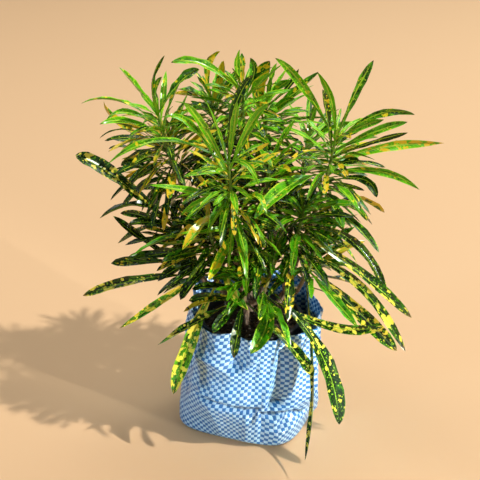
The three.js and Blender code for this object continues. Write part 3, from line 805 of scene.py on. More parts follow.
CRESTS = [
    # The front: a pleat that starts at the rim, the bulge under it, and the folds beside them.
    Crest(((-111, 150), (-109, 131), (-108, 115)), -7.0, 6.5),
    Crest(((-146, 119), (-122, 113), (-106, 101), (-93, 112), (-85, 126)), 5.0, 7.5),
    Crest(((-95, 150), (-94, 124)), 3.0, 5.5),
    Crest(((-126, 150), (-119, 130)), 2.5, 7.0),
    Crest(((-73, 142), (-73, 104), (-77, 78), (-78, 58)), 4.5, 4.5),
    Crest(((-84, 128), (-88, 96), (-90, 68)), -4.0, 7.0),
    Crest(((-63, 120), (-66, 84), (-71, 58)), -4.5, 7.0),
    Crest(((-50, 140), (-54, 96), (-56, 66)), 3.0, 6.0),
    # The two long creases of the front, each under cloth that hangs over it.
    Crest(((-136, 66), (-114, 59), (-94, 52), (-79, 51), (-61, 58)), -5.0, 3.0),
    Crest(((-132, 74), (-112, 68), (-94, 61), (-80, 60)), 3.5, 6.0),
    Crest(((-94, 50), (-88, 49)), -2.5, 4.5),
    Crest(((-71, 55), (-65, 58)), -3.0, 5.0),
    Crest(((-79, 45), (-60, 45), (-47, 41), (-36, 36)), -4.5, 2.8),
    Crest(((-69, 40), (-66, 10)), 3.5, 5.0),
    Crest(((-79, 40), (-78, 10)), -3.0, 4.5),
    Crest(((-93, 44), (-91, 10)), 2.5, 5.0),
    Crest(((-124, 50), (-118, 14)), 2.0, 7.0),
    # The right side.
    Crest(((-34, 146), (-32, 100), (-36, 60)), 3.5, 6.0),
    Crest(((-20, 132), (-22, 92), (-14, 60)), -4.5, 6.5),
    Crest(((-6, 148), (-8, 112), (2, 84)), 3.5, 5.5),
    Crest(((-26, 52), (0, 44), (24, 52)), -4.5, 3.2),
    Crest(((-4, 40), (2, 10)), 3.0, 5.5),
    Crest(((18, 148), (16, 118), (24, 98)), -5.0, 6.0),
    Crest(((8, 96), (24, 92), (40, 104)), 4.0, 7.0),
    # The back.
    Crest(((44, 146), (42, 104), (48, 72)), 4.0, 5.0),
    Crest(((58, 138), (60, 100), (56, 70)), -4.5, 7.0),
    Crest(((40, 60), (64, 50), (90, 54), (112, 48)), -4.8, 3.0),
    Crest(((44, 68), (66, 60), (90, 62)), 3.2, 6.0),
    Crest(((78, 150), (80, 128), (84, 112)), -6.0, 6.5),
    Crest(((62, 118), (84, 102), (104, 116)), 4.5, 7.0),
    Crest(((96, 40), (100, 10)), 3.0, 5.0),
    Crest(((112, 144), (112, 96), (106, 66)), 4.0, 5.0),
    Crest(((126, 138), (128, 92), (122, 62)), -4.5, 7.0),
    # The left side.
    Crest(((132, 62), (156, 52), (182, 58), (204, 66)), -4.8, 3.0),
    Crest(((138, 72), (160, 62), (184, 68)), 3.2, 6.0),
    Crest(((146, 148), (150, 124), (158, 104)), 4.0, 6.0),
    Crest(((170, 150), (168, 128), (172, 112)), -6.0, 6.5),
    Crest(((186, 140), (190, 104), (186, 78)), 4.0, 5.5),
    Crest(((164, 40), (160, 10)), 3.0, 5.5),
    Crest(((204, 134), (208, 96)), -4.0, 7.0),
]


@dataclass
class BagSewn:
    """The woven bag: a lofted shell that sags round the pot, creased, with a turned-in hem."""

    height: float = 152.5
    wall: float = 1.5  # of the frame's solid
    cloth: float = 0.9
    foot: Plan = Plan(75, 63, 3.8, -22)
    body: Plan = Plan(81, 79, 2.6, 10)
    bulges_by: float = 75
    corner_radius: float = 9
    rim_share: float = 0.9
    lean: float = 9
    across: int = 320  # quads round the wall
    up: int = 112  # quads up the wall
    crowding: float = 1.15  # above 1, so the low rows lie closer together
    below: int = 10  # quads from the floor's middle to the wall
    squares_round: int = 122  # tapes round the wall, an even number so that the checks close
    squares_below: float = 18  # tapes from the floor's middle to the wall
    square: float = 3.6
    hem: float = 9
    hem_proud: float = 0.7
    hem_edge: float = 1.2
    tuck: float = 4  # how much further than the frame's the foot turns under
    tuck_height: float = 6
    soft_crumple: float = 0.9
    sharp_crumple: float = 0.9
    shaded_valley_reach: float = 3.2  # only valleys as narrow as this get painted shade
    shade_line_width: float = 0.9  # how wide their line of painted shade is
    shade_line_edge: float = 0.3
    shade_darkest_at: float = 4.5  # how deep a valley is where its painted shade is darkest
    foot_shadow_to: float = 3.64  # how high the painted contact shadow along the foot reaches
    foot_shadow_fade: float = 2.6

    def rim_height(self, angle: Array) -> Array:
        """The rim's height: low in front, high at the back and left, with a slight ripple."""
        slump = 7 * np.sin(angle) - 1.5 * np.cos(angle) + 6 * np.maximum(0, np.sin(angle)) ** 2
        return self.height + slump + 1.6 * np.sin(3 * angle + 1) + 0.9 * np.sin(5 * angle)

    def bare_radius(self, angle: Array, z: Array) -> Array:
        """The wall without its folds: from the foot's plan to the body's, then in to the rim."""
        share = eased(z / self.bulges_by)
        plan = self.foot.radius(angle) * (1 - share) + self.body.radius(angle) * share
        middle = self.bulges_by / 2
        narrow = eased((z - middle) / (self.height - middle))
        short = np.clip(1 - z / self.corner_radius, 0, 1)
        corner = self.corner_radius * (1 - np.sqrt(1 - short * short))
        return plan * (1 - (1 - self.rim_share) * narrow) - corner

    def fold_push(self, angle: Array, z: Array) -> Array:
        """How far the soft folds push the wall outwards."""
        push = np.zeros_like(angle)
        for fold in FOLDS:
            around = wrapped(angle - math.radians(fold.angle)) * self.body.half_width
            rise = z - fold.height
            c, s = math.cos(math.radians(fold.tilt)), math.sin(math.radians(fold.tilt))
            along = (around * c + rise * s) / fold.long
            beside = (rise * c - around * s) / fold.wide
            push = push + fold.push * np.exp(-along * along - beside * beside)
        return push * np.clip(z / self.corner_radius, 0, 1)

    def wall_radius(self, angle: Array, z: Array) -> Array:
        """The wall's radius with its soft folds."""
        return self.bare_radius(angle, z) + self.fold_push(angle, z)

    def lean_at(self, z: Array) -> Array:
        """How far the bag has slumped towards +X at a height."""
        return self.lean * z / self.height

    def crest_push(self, angle: Array, z: Array) -> Array:
        """How far the sharp ridges and valleys move the wall."""
        return sum(crest.push(angle, z, self.body.half_width) for crest in CRESTS)

    def painted_shade_depth(self, angle: Array, z: Array) -> Array:
        """How dark the painted shade in the sharp creases and the painted contact shadow along the foot's
        edge are, from 0 to 1.
        """
        narrow = [crest for crest in CRESTS if crest.height < 0 and crest.reach <= self.shaded_valley_reach]
        lines = [replace(crest, reach=self.shade_line_width, edge=self.shade_line_edge) for crest in narrow]
        deep = sum(line.push(angle, z, self.body.half_width) for line in lines)
        foot_shadow = np.clip((self.foot_shadow_to - z) / self.foot_shadow_fade, 0, 1)
        return np.maximum(np.clip(-deep / self.shade_darkest_at, 0, 1), foot_shadow)

    def crumple(self, angle: Array, z: Array) -> Array:
        """Faceted crumpling of the stiff cloth, and a slight unevenness."""
        push = np.empty(angle.size)
        for k, (a, h) in enumerate(zip(angle, z)):
            place = Vector((math.cos(a) * 3.1, math.sin(a) * 3.1, h / 26.0))
            soft = noise.noise(place * 1.4)
            ridge = 1 - abs(noise.noise(place * 2.3 + Vector((7, 3, 1)))) * 2
            push[k] = self.soft_crumple * soft + self.sharp_crumple * ridge * abs(ridge)
        return push * eased(z / 22.0)

    def skin_radius(self, angle: Array, z: Array, rim: Array) -> Array:
        """The outside skin's radius: the wall's, creased, with its hem and with its foot tucked under.

        Args:
            angle: Angles round the wall, in radians.
            z: Heights.
            rim: The rim's height at each angle.

        Returns:
            The radius at each angle and height.
        """
        fine = (self.crest_push(angle, z) + self.crumple(angle, z)) * np.clip(z / self.corner_radius, 0, 1)
        hem = self.hem_proud * eased((z - (rim - self.hem)) / self.hem_edge)
        tucked = self.tuck * np.clip(1 - z / self.tuck_height, 0, 1) ** 2
        return self.wall_radius(angle, z) + fine + hem - tucked

    def build(self) -> Piece:
        """Makes the outside skin from a flat sheet, rolls it up and gives it its thickness."""
        deselect()
        rows = self.below + self.up
        bpy.ops.mesh.primitive_grid_add(x_subdivisions=self.across, y_subdivisions=rows, size=2)
        piece = bpy.context.object
        piece.name = piece.data.name = "bag_cloth"
        flat = read_places(piece) * MM
        column = np.rint((flat[:, 0] + 1) / 2 * self.across)
        row = np.rint((flat[:, 1] + 1) / 2 * rows)
        angle = math.pi / 2 + column / self.across * 2 * math.pi
        rim = self.rim_height(angle)
        z = np.clip((row - self.below) / self.up, 0, 1) ** self.crowding * rim
        outward = np.clip(row / self.below, 0, 1)  # on the floor, the share of the way to the wall
        floor_radius = self.wall_radius(angle, 0 * z) * outward
        radius = np.where(row < self.below, floor_radius, self.skin_radius(angle, z, rim))
        x = self.lean_at(z) + radius * np.cos(angle)
        write_places(piece, np.stack([x, radius * np.sin(angle), z], axis=1))
        self.map_squares(piece, column, z, outward)
        # Painted shade for the narrow creases and the foot's contact shadow, stored on the mesh for the
        # material.
        depth = self.painted_shade_depth(angle, z) * (row >= self.below)
        paint(piece, "crease", np.stack([depth, 0 * depth, 0 * depth], axis=1))
        self.close(piece)
        return piece

    def map_squares(self, piece: Piece, column: Array, z: Array, outward: Array) -> None:
        """Gives the cloth its own map, in tape widths.

        Args:
            piece: The sheet.
            column: Each vertex's column, round the wall.
            z: Its height.
            outward: Its share of the way from the floor's middle to the wall.
        """
        u = column / self.across * self.squares_round
        v = z / self.square + (outward - 1) * self.squares_below
        corners = np.zeros(len(piece.data.loops), dtype=np.int64)
        piece.data.loops.foreach_get("vertex_index", corners)
        layer = piece.data.uv_layers[0] if piece.data.uv_layers else piece.data.uv_layers.new()
        layer.name = "tapes"
        layer.data.foreach_set("uv", np.stack([u[corners], v[corners]], axis=1).ravel())

    def close(self, piece: Piece) -> None:
        """Welds the seam and the floor's middle, and gives the cloth its thickness."""
        activate(piece)
        bpy.ops.object.mode_set(mode="EDIT")
        bpy.ops.mesh.select_all(action="SELECT")
        bpy.ops.mesh.remove_doubles(threshold=0.02 * MM)
        bpy.ops.mesh.normals_make_consistent(inside=False)
        bpy.ops.object.mode_set(mode="OBJECT")
        shell = piece.modifiers.new("cloth", "SOLIDIFY")
        shell.thickness = self.cloth * MM
        shell.offset = -1
        shell.material_offset = 1
        shell.use_even_offset = False
        apply_modifiers(piece)
        smooth(piece)


# ------------------------------------------------------------------ pot and soil


@dataclass
class NurseryPot:
    """The nursery pot: a thin tapered cup with a rolled lip."""

    centre_x: float = 5
    foot: float = 1.8
    height: float = 138
    base_radius: float = 45
    top_radius: float = 58
    wall: float = 1.6
    rim_height: float = 7
    rim_proud: float = 3
    hub: float = 0.5  # the radius of the small discs that close it at its axis
    spots: int = 96

    def side(self, z: float) -> float:
        """The radius of its outside at a height."""
        slope = (self.top_radius - self.base_radius) / (self.height - self.foot)
        return self.base_radius + slope * (z - self.foot)

    def profile(self) -> list[tuple[float, float]]:
        """The section as (radius, height), from the middle of the floor's underside round to its top."""
        under = self.height - self.rim_height
        lip = self.top_radius + self.rim_proud
        steps = np.linspace(0, 1, 9)[1:-1]
        outside = [(self.side(z), z) for z in self.foot + 2 + (under - 1 - self.foot - 2) * steps]
        heights = self.height - 1.5 + (self.foot + 4 - self.height) * steps
        inside = [(self.side(z) - self.wall, z) for z in heights]
        return [
            (self.hub, self.foot + 2.5),
            (self.base_radius * 0.72, self.foot + 2.5),
            (self.base_radius * 0.78, self.foot),
            (self.base_radius - 1.2, self.foot),
            (self.base_radius - 0.2, self.foot + 0.5),
            (self.side(self.foot + 2), self.foot + 2),
            *outside,
            (self.side(under) + 0.1, under - 0.4),
            (self.side(under) + 0.6, under),
            (lip - 0.6, under + 0.1),
            (lip, under + 0.8),
            (lip, self.height - 0.8),
            (lip - 0.7, self.height),
            (self.top_radius - self.wall + 0.7, self.height),
            (self.top_radius - self.wall, self.height - 0.8),
            *inside,
            (self.side(self.foot + 4) - self.wall, self.foot + self.wall + 3),
            (self.base_radius - 4, self.foot + self.wall + 1.2),
            (self.hub, self.foot + self.wall + 1.2),
        ]

    def build(self) -> Piece:
        """Turns the section about the pot's axis."""
        profile = np.array(self.profile())
        tube = make_tube("pot_wall", len(profile), self.spots)
        turn = ring_angles(self.spots)
        radius, z = profile[:, :1], profile[:, 1:]
        x, y = self.centre_x + radius * np.cos(turn), radius * np.sin(turn)
        tube.shape(np.stack([x, y, z + 0 * turn], axis=2))
        smooth(tube.piece, 40)
        return tube.piece


@dataclass
class PottingSoil:
    """The soil in the pot: lumpy on top, with loose chips of bark."""

    centre_x: float = 5
    foot: float = 4.0
    foot_radius: float = 42.6
    edge_height: float = 131
    edge_radius: float = 54.8
    crown_height: float = 142
    crown_radius: float = 16  # flat round the canes
    hub: float = 0.5  # the radius of the small discs that close it at its axis
    side_rings: int = 6
    top_rings: int = 30
    spots: int = 96
    chips: int = 130
    chips_within: float = 52
    seed: int = 91

    def top(self, radius: Array, turn: Array) -> Array:
        """The height of the soil at a radius and a turn."""
        share = np.clip((radius - self.crown_radius) / (self.edge_radius - self.crown_radius), 0, 1)
        z = self.crown_height - 1.6 + (self.edge_height - self.crown_height) * share**1.5
        lumps = [
            1.4 * noise.noise(Vector((r * math.cos(t) / 9, r * math.sin(t) / 9, 3)))
            + 0.8 * noise.noise(Vector((r * math.cos(t) / 3.5, r * math.sin(t) / 3.5, 8)))
            for r, t in zip(radius.ravel(), turn.ravel())
        ]
        return z + np.array(lumps).reshape(radius.shape)

    def build(self) -> Piece:
        """Shapes the soil from a tube: its floor, its side and its lumpy top."""
        share = np.arange(self.side_rings + 1) / self.side_rings
        sides = self.foot_radius + (self.edge_radius - self.foot_radius) * share
        heights = self.foot + (self.edge_height - 1 - self.foot) * share
        tops = np.linspace(self.edge_radius, self.hub, self.top_rings)
        turn = ring_angles(self.spots)
        radius = np.concatenate([[self.hub], sides, tops])[:, None] + 0 * turn
        low = np.concatenate([[self.foot], heights])[:, None] + 0 * turn
        high = self.top(radius[len(low) :], 0 * radius[len(low) :] + turn)
        z = np.concatenate([low, high])
        tube = make_tube("potting_soil", len(radius), self.spots)
        tube.shape(np.stack([self.centre_x + radius * np.cos(turn), radius * np.sin(turn), z], axis=2))
        smooth(tube.piece)
        return join([tube.piece, *self.scatter()], "potting_soil")

    def scatter(self) -> list[Piece]:
        """Chips of bark lying on the soil, each a copy of one chip, turned and flattened."""
        deselect()
        bpy.ops.mesh.primitive_ico_sphere_add(subdivisions=2, radius=1)
        chip = bpy.context.object
        round_form = read_places(chip) * MM
        draw = Draw(self.seed)
        chips = []
        for k in range(self.chips):
            radius = self.chips_within * math.sqrt(draw())
            turn = draw() * 2 * math.pi
            size = np.array([2.2 + 3.2 * draw(), 1.2 + 1.6 * draw(), 0.6 + 0.7 * draw()])
            rough = np.array([1 + 0.35 * noise.noise(Vector(p * 2.1 + k)) for p in round_form])
            form = round_form * rough[:, None] * size
            spin = draw() * 2 * math.pi
            form = np.array([turned(p, np.array([0.0, 0.0, 1.0]), spin) for p in form])
            form = np.array([turned(p, EAST, 0.7 * (draw() - 0.5)) for p in form])
            z = float(self.top(np.array([radius]), np.array([turn]))[0])
            seat = np.array([self.centre_x + radius * math.cos(turn), radius * math.sin(turn), z + 0.3])
            copy = copy_of(chip, f"chip_{k}")
            write_places(copy, form + seat)
            chips.append(copy)
        discard(chip)
        return chips


# ------------------------------------------------------------------ canes


@dataclass(frozen=True)
class Cane:
    """One woody cane: its name, its foot in the soil and its fork."""

    name: str
    foot: tuple[float, float]
    fork: Triple


@dataclass(frozen=True)
class Shoot:
    """One leafy shoot, from the end of its cane's branch to its growing tip.

    It wants so many leaves, of which the lowest are so long and leave it at so many degrees.
    """

    name: str
    cane: str
    start: Triple
    apex: Triple
    leaves: int
    long: float
    rise: float

    @property
    def is_young(self) -> bool:
        """True if it ends high up, where the leaves are young."""
        return self.apex[2] > YOUNG_ABOVE

    def path(self) -> Bow:
        """The shoot's own curve."""
        start, apex = np.array(self.start, float), np.array(self.apex, float)
        bend = (start + apex) / 2
        bend[:2] += (apex - start)[:2] * 0.2
        return Bow(start, bend, apex)


CANES = [
    Cane("cane_left", (-22, 2), (-34, 2, 178)),
    Cane("cane_front", (0, -26), (-4, -32, 170)),
    Cane("cane_right", (36, -4), (44, -8, 172)),
    Cane("cane_middle", (4, 4), (2, 8, 182)),
    Cane("cane_back", (18, 37), (14, 46, 184)),
]

SHOOTS = [
    Shoot("shoot_left_top", "cane_left", (-74, -4, 306), (-97, -10, 392), 16, 92, 4),
    Shoot("shoot_left_back", "cane_left", (-56, 30, 234), (-90, 58, 336), 18, 108, 14),
    Shoot("shoot_left_low", "cane_left", (-48, -10, 186), (-76, -26, 264), 18, 98, 26),
    Shoot("shoot_left_front", "cane_front", (-24, -40, 208), (-44, -62, 288), 20, 92, 20),
    Shoot("shoot_front_top", "cane_front", (-12, -52, 268), (-20, -74, 360), 17, 96, 2),
    Shoot("shoot_front_low", "cane_front", (16, -42, 182), (30, -56, 240), 15, 84, 24),
    Shoot("shoot_front_mid", "cane_front", (-3, -48, 174), (-2, -72, 246), 18, 80, 22),
    Shoot("shoot_right_top", "cane_right", (76, -4, 270), (97, -6, 362), 19, 104, 2),
    Shoot("shoot_right_mid", "cane_right", (48, -32, 226), (62, -48, 298), 20, 92, 14),
    Shoot("shoot_right_low", "cane_right", (58, -22, 182), (78, -34, 244), 18, 92, 28),
    Shoot("shoot_middle", "cane_middle", (12, -12, 236), (24, -24, 336), 18, 92, 8),
    Shoot("shoot_middle_low", "cane_middle", (-12, -4, 204), (-20, -12, 274), 16, 86, 22),
    Shoot("shoot_back_left", "cane_back", (-24, 52, 192), (-44, 76, 256), 13, 96, 22),
    Shoot("shoot_top", "cane_middle", (-4, 10, 330), (-5, 10, 412), 14, 84, 8),
    Shoot("shoot_top_left", "cane_middle", (-30, 26, 316), (-40, 38, 394), 14, 90, 6),
    Shoot("shoot_top_right", "cane_back", (20, 46, 300), (22, 56, 384), 14, 92, 6),
    Shoot("shoot_right_back", "cane_back", (46, 54, 226), (72, 76, 336), 17, 108, 10),
    Shoot("shoot_back", "cane_back", (-2, 68, 226), (-14, 100, 328), 17, 108, 10),
    Shoot("shoot_back_low", "cane_back", (28, 58, 192), (38, 84, 246), 12, 96, 22),
]


@dataclass
class Canes:
    """The woody canes, each with a branch to every shoot that it carries."""

    soil_top: float = 142
    foot_radius: float = 4.2
    tip_radius: float = 3
    depth: float = 55
    spots: int = 14
    rings: int = 26
    scar_step: float = 11  # between the rings that fallen leaves left
    scar_height: float = 0.10  # of the radius, as is a knot's
    knot_height: float = 0.08

    def trunk(self, cane: Cane) -> Bow:
        """The cane above its collar, straight up out of the soil and over to its fork."""
        collar = np.array([*cane.foot, self.soil_top + 4.0])
        fork = np.array(cane.fork, float)
        return Bow(collar, np.array([*cane.foot, (collar[2] + fork[2]) / 2]), fork)

    def branch(self, cane: Cane, shoot: Shoot) -> Bow:
        """The way from the fork to a shoot, ending in the direction that the shoot grows on in."""
        fork, end = np.array(cane.fork, float), np.array(shoot.start, float)
        back = -0.45 * float(np.linalg.norm(end - fork))
        return Bow(fork, end + shoot.path().tangent(0) * back, end)

    def stem(self, name: str, path: Bow, start: float, end: float) -> Piece:
        """A tapered stem along a curve, swollen at each old leaf's scar.

        Args:
            name: The new object's name.
            path: The curve.
            start: Its radius at the curve's start.
            end: Its radius at the curve's end.

        Returns:
            The stem.
        """
        tube = make_tube(name, self.rings, self.spots)
        radii = np.zeros((self.rings, self.spots))
        long = path.length()
        for k in range(self.rings):
            t = k / (self.rings - 1)
            scar = self.scar_height * max(0.0, math.cos(2 * math.pi * t * long / self.scar_step)) ** 6
            for i, a in enumerate(ring_angles(self.spots)):
                place = Vector((math.cos(a) * 2, math.sin(a) * 2, t * long / 9))
                knots = self.knot_height * noise.noise(place)
                radii[k, i] = (start + (end - start) * t) * (0.95 + scar + knots)
        tube.shape(path.rings(radii))
        smooth(tube.piece, 60)
        return tube.piece

    def build(self) -> dict[str, Piece]:
        """All canes, by the name of the node that each stands for."""
        made = {}
        for cane in CANES:
            trunk = self.trunk(cane)
            foot = np.array([*cane.foot, self.soil_top - self.depth])
            root = Bow(foot, (foot + trunk.start) / 2, trunk.start)
            middle = (self.foot_radius + self.tip_radius) / 2
            stems = [
                self.stem("root", root, self.foot_radius * 0.9, self.foot_radius),
                self.stem("trunk", trunk, self.foot_radius, middle),
            ]
            for shoot in SHOOTS:
                if shoot.cane == cane.name:
                    stems.append(self.stem("branch", self.branch(cane, shoot), middle, self.tip_radius))
            made[cane.name] = join(stems, cane.name + "_bark")
        return made


# ------------------------------------------------------------------ leaves


class Look(Enum):
    """How a leaf is coloured: its age from 0 to 1, and how much gold it has."""

    LIME = (0.10, 0.22)
    FRESH = (0.28, 0.36)
    GREEN = (0.55, 0.32)
    DARK = (0.95, 0.18)
    DOTTED = (0.90, 0.42)
    SPLASHED = (0.85, 0.62)
    STREAKED = (0.80, 0.62)
    BRIGHT = (0.42, 0.76)
    GOLDEN = (0.55, 0.92)
    PALE = (0.00, 0.75)


# What leaves older than the first number look like: each look up to its share of them.
COMMON_LOOKS = (
    (0.62, ((0.26, Look.SPLASHED), (0.50, Look.DOTTED), (1.0, Look.DARK))),
    (0.38, ((0.20, Look.SPLASHED), (0.58, Look.GREEN), (1.0, Look.FRESH))),
    (-math.inf, ((0.30, Look.GREEN), (0.72, Look.FRESH), (1.0, Look.LIME))),
)


@dataclass(frozen=True)
class NamedLeaf:
    """A leaf that gives the plant its outline: its shoot, its place up it and its tip.

    Its middle is bowed towards +X and arched upwards, and it is rolled by so many degrees.
    """

    shoot: str
    share: float
    tip: Triple
    bow_arch: tuple[float, float]
    width: float
    roll: float
    look: Look


NAMED_LEAVES = [
    NamedLeaf("shoot_left_low", 0.12, (-187, -26, 176), (-4, 8), 12, 0, Look.SPLASHED),
    NamedLeaf("shoot_front_mid", 0.2, (-100, -82, 143), (-2, 2), 11, 20, Look.STREAKED),
    NamedLeaf("shoot_right_low", 0.5, (169, -66, 127), (1, 2), 14, 20, Look.STREAKED),
    NamedLeaf("shoot_front_low", 0.1, (150, -82, 167), (6, -20), 12, 10, Look.STREAKED),
    NamedLeaf("shoot_front_mid", 0.12, (72, -110, 120), (16, -12), 13, 15, Look.SPLASHED),
    NamedLeaf("shoot_right_low", 0.3, (64, -104, 13), (9, -15), 9, 60, Look.SPLASHED),
    NamedLeaf("shoot_front_low", 0.28, (102, -110, 60), (20, 5), 16, -10, Look.DOTTED),
    NamedLeaf("shoot_right_mid", 0.1, (177, -78, 133), (4, 28), 12, 20, Look.STREAKED),
    NamedLeaf("shoot_front_top", 0.06, (-42, -92, 229), (-2, -4), 11, 0, Look.PALE),
    NamedLeaf("shoot_front_top", 0.15, (-74, -92, 285), (5, -4), 9, 10, Look.LIME),
    NamedLeaf("shoot_left_top", 0.93, (-136, -20, 445), (-1, 5), 10, 20, Look.FRESH),
    NamedLeaf("shoot_left_top", 0.98, (-88, -10, 455), (-9, 3), 7, 50, Look.DOTTED),
    NamedLeaf("shoot_left_top", 0.95, (-90, -34, 439), (-5, 7), 6, -50, Look.GREEN),
    NamedLeaf("shoot_left_top", 0.97, (-52, 8, 434), (1, 11), 11, -20, Look.GREEN),
    NamedLeaf("shoot_left_top", 0.8, (-177, -30, 408), (-3, 17), 8, 40, Look.FRESH),
    NamedLeaf("shoot_left_top", 0.72, (-152, -24, 387), (-5, 16), 8, 30, Look.FRESH),
    NamedLeaf("shoot_left_top", 0.62, (-157, -42, 389), (-3, 12), 9, 0, Look.LIME),
    NamedLeaf("shoot_left_top", 0.5, (-161, -12, 362), (-6, 16), 5, 60, Look.DARK),
    NamedLeaf("shoot_left_back", 0.85, (-158, 20, 393), (-19, 3), 10, 0, Look.GOLDEN),
    NamedLeaf("shoot_top", 0.93, (-82, 0, 444), (-3, 15), 11, 10, Look.FRESH),
    NamedLeaf("shoot_top_left", 0.97, (-30, 44, 443), (-9, 10), 9, 20, Look.GOLDEN),
    NamedLeaf("shoot_top_left", 0.85, (-26, 20, 440), (1, 1), 9, 0, Look.GOLDEN),
    NamedLeaf("shoot_top", 0.97, (-8, 8, 456), (-5, 5), 8, 30, Look.LIME),
    NamedLeaf("shoot_top", 0.99, (-6, 14, 453), (0, 0), 8, -30, Look.GOLDEN),
    NamedLeaf("shoot_top", 0.9, (3, 30, 440), (8, 3), 10, -20, Look.GREEN),
    NamedLeaf("shoot_top_right", 0.62, (25, 44, 432), (-11, 8), 14, 0, Look.GOLDEN),
    NamedLeaf("shoot_top_right", 0.95, (33, 40, 433), (-1, 6), 6, 40, Look.LIME),
    NamedLeaf("shoot_top_right", 0.9, (58, 60, 418), (6, 0), 7, 0, Look.DARK),
    NamedLeaf("shoot_top_right", 0.8, (79, 42, 420), (2, 0), 11, -10, Look.GREEN),
    NamedLeaf("shoot_top_right", 0.97, (48, 36, 412), (1, 5), 9, 30, Look.FRESH),
    NamedLeaf("shoot_top_right", 0.7, (53, 30, 393), (1, 7), 9, 30, Look.FRESH),
    NamedLeaf("shoot_front_top", 0.6, (-85, -92, 415), (-3, 28), 8, 25, Look.FRESH),
    NamedLeaf("shoot_front_top", 0.8, (-65, -102, 434), (-4, 15), 9, -25, Look.LIME),
    NamedLeaf("shoot_front_top", 0.92, (-44, -92, 436), (0, 6), 6, 30, Look.FRESH),
    NamedLeaf("shoot_front_top", 0.97, (-11, -100, 435), (1, 6), 8, -30, Look.LIME),
    NamedLeaf("shoot_front_top", 0.9, (5, -66, 451), (-8, 11), 10, 0, Look.DARK),
    NamedLeaf("shoot_front_top", 0.86, (21, -88, 428), (1, 13), 9, 25, Look.LIME),
    NamedLeaf("shoot_front_top", 0.95, (-151, -76, 353), (-4, 29), 9, 20, Look.FRESH),
    NamedLeaf("shoot_front_top", 0.5, (-103, -96, 342), (-2, 1), 9, 15, Look.LIME),
    NamedLeaf("shoot_front_top", 0.96, (11, -116, 349), (3, 12), 6, 20, Look.LIME),
    NamedLeaf("shoot_front_top", 0.12, (20, -110, 315), (3, 27), 9, -15, Look.PALE),
    NamedLeaf("shoot_left_low", 0.8, (-187, -22, 346), (-11, 21), 15, 0, Look.SPLASHED),
    NamedLeaf("shoot_left_low", 0.04, (-148, -30, 277), (-9, 4), 10, 0, Look.DARK),
    NamedLeaf("shoot_left_low", 0.92, (-160, -56, 286), (-1, 24), 11, 20, Look.DARK),
    NamedLeaf("shoot_left_low", 0.7, (-141, -20, 276), (-3, 12), 9, -30, Look.DOTTED),
    NamedLeaf("shoot_left_low", 0.85, (-129, -60, 280), (-1, 9), 10, 20, Look.DARK),
    NamedLeaf("shoot_left_back", 0.55, (-154, 10, 341), (-10, 17), 6, 50, Look.DARK),
    NamedLeaf("shoot_left_back", 0.3, (-140, 0, 325), (-11, 21), 9, 10, Look.DARK),
    NamedLeaf("shoot_left_front", 0.25, (-142, -76, 161), (1, 1), 9, -20, Look.BRIGHT),
    NamedLeaf("shoot_left_front", 0.8, (-124, -78, 252), (-4, 7), 9, 20, Look.LIME),
    NamedLeaf("shoot_left_front", 0.7, (-97, -60, 257), (0, -2), 8, 20, Look.PALE),
    NamedLeaf("shoot_left_front", 0.5, (-112, -70, 247), (-5, 1), 11, 10, Look.DARK),
    NamedLeaf("shoot_left_front", 0.1, (-83, -104, 91), (-8, -7), 18, 0, Look.BRIGHT),
    NamedLeaf("shoot_left_front", 0.3, (1, -94, 194), (-4, -3), 12, -10, Look.PALE),
    NamedLeaf("shoot_front_mid", 0.6, (-37, -96, 220), (2, -4), 8, 20, Look.LIME),
    NamedLeaf("shoot_right_top", 0.92, (136, 8, 444), (1, 9), 10, 35, Look.GREEN),
    NamedLeaf("shoot_right_top", 0.9, (181, -12, 389), (2, 17), 9, 30, Look.GREEN),
    NamedLeaf("shoot_right_top", 0.95, (146, -30, 390), (2, 4), 9, 20, Look.FRESH),
    NamedLeaf("shoot_right_top", 0.8, (171, -32, 388), (5, 6), 10, 20, Look.FRESH),
    NamedLeaf("shoot_right_top", 0.72, (170, -46, 381), (3, 4), 7, 60, Look.DARK),
    NamedLeaf("shoot_right_top", 0.66, (217, 2, 351), (-1, 7), 11, 30, Look.PALE),
    NamedLeaf("shoot_right_top", 0.6, (121, -30, 343), (3, 3), 8, 20, Look.DARK),
    NamedLeaf("shoot_right_top", 0.52, (187, -40, 313), (6, 12), 9, 30, Look.FRESH),
    NamedLeaf("shoot_right_top", 0.4, (139, -50, 308), (12, 13), 10, 20, Look.DARK),
    NamedLeaf("shoot_right_top", 0.38, (130, -20, 304), (-3, 4), 5, 60, Look.DARK),
    NamedLeaf("shoot_right_top", 0.95, (29, -26, 457), (-3, 15), 10, -20, Look.FRESH),
    NamedLeaf("shoot_right_top", 0.99, (73, -30, 443), (4, 8), 8, -30, Look.LIME),
    NamedLeaf("shoot_right_top", 0.75, (78, -46, 429), (1, 5), 10, 0, Look.DOTTED),
    NamedLeaf("shoot_right_top", 0.5, (7, -104, 307), (-2, 14), 14, 20, Look.FRESH),
    NamedLeaf("shoot_right_top", 0.36, (86, -50, 312), (-8, 4), 7, 0, Look.LIME),
    NamedLeaf("shoot_front_low", 0.97, (94, -72, 295), (-13, 18), 7, 65, Look.DARK),
    NamedLeaf("shoot_right_mid", 0.6, (158, -40, 182), (9, 26), 12, 30, Look.DOTTED),
    NamedLeaf("shoot_right_mid", 0.5, (182, -60, 167), (-2, 10), 13, 20, Look.STREAKED),
    NamedLeaf("shoot_right_low", 0.45, (122, -84, 167), (0, 1), 11, 20, Look.FRESH),
    NamedLeaf("shoot_front_low", 0.15, (3, -108, 147), (11, -1), 15, 0, Look.FRESH),
]


@dataclass(frozen=True)
class Leaf:
    """One leaf: its curve, the way its right edge points, its width, and how it is rolled and twisted.

    Its share is how far up its shoot it grows, and a leaf that isn't named has no look of its own.
    """

    shoot: str
    path: Bow
    side: Array
    width: float
    roll: float
    twist: float
    share: float
    look: Look | None = None


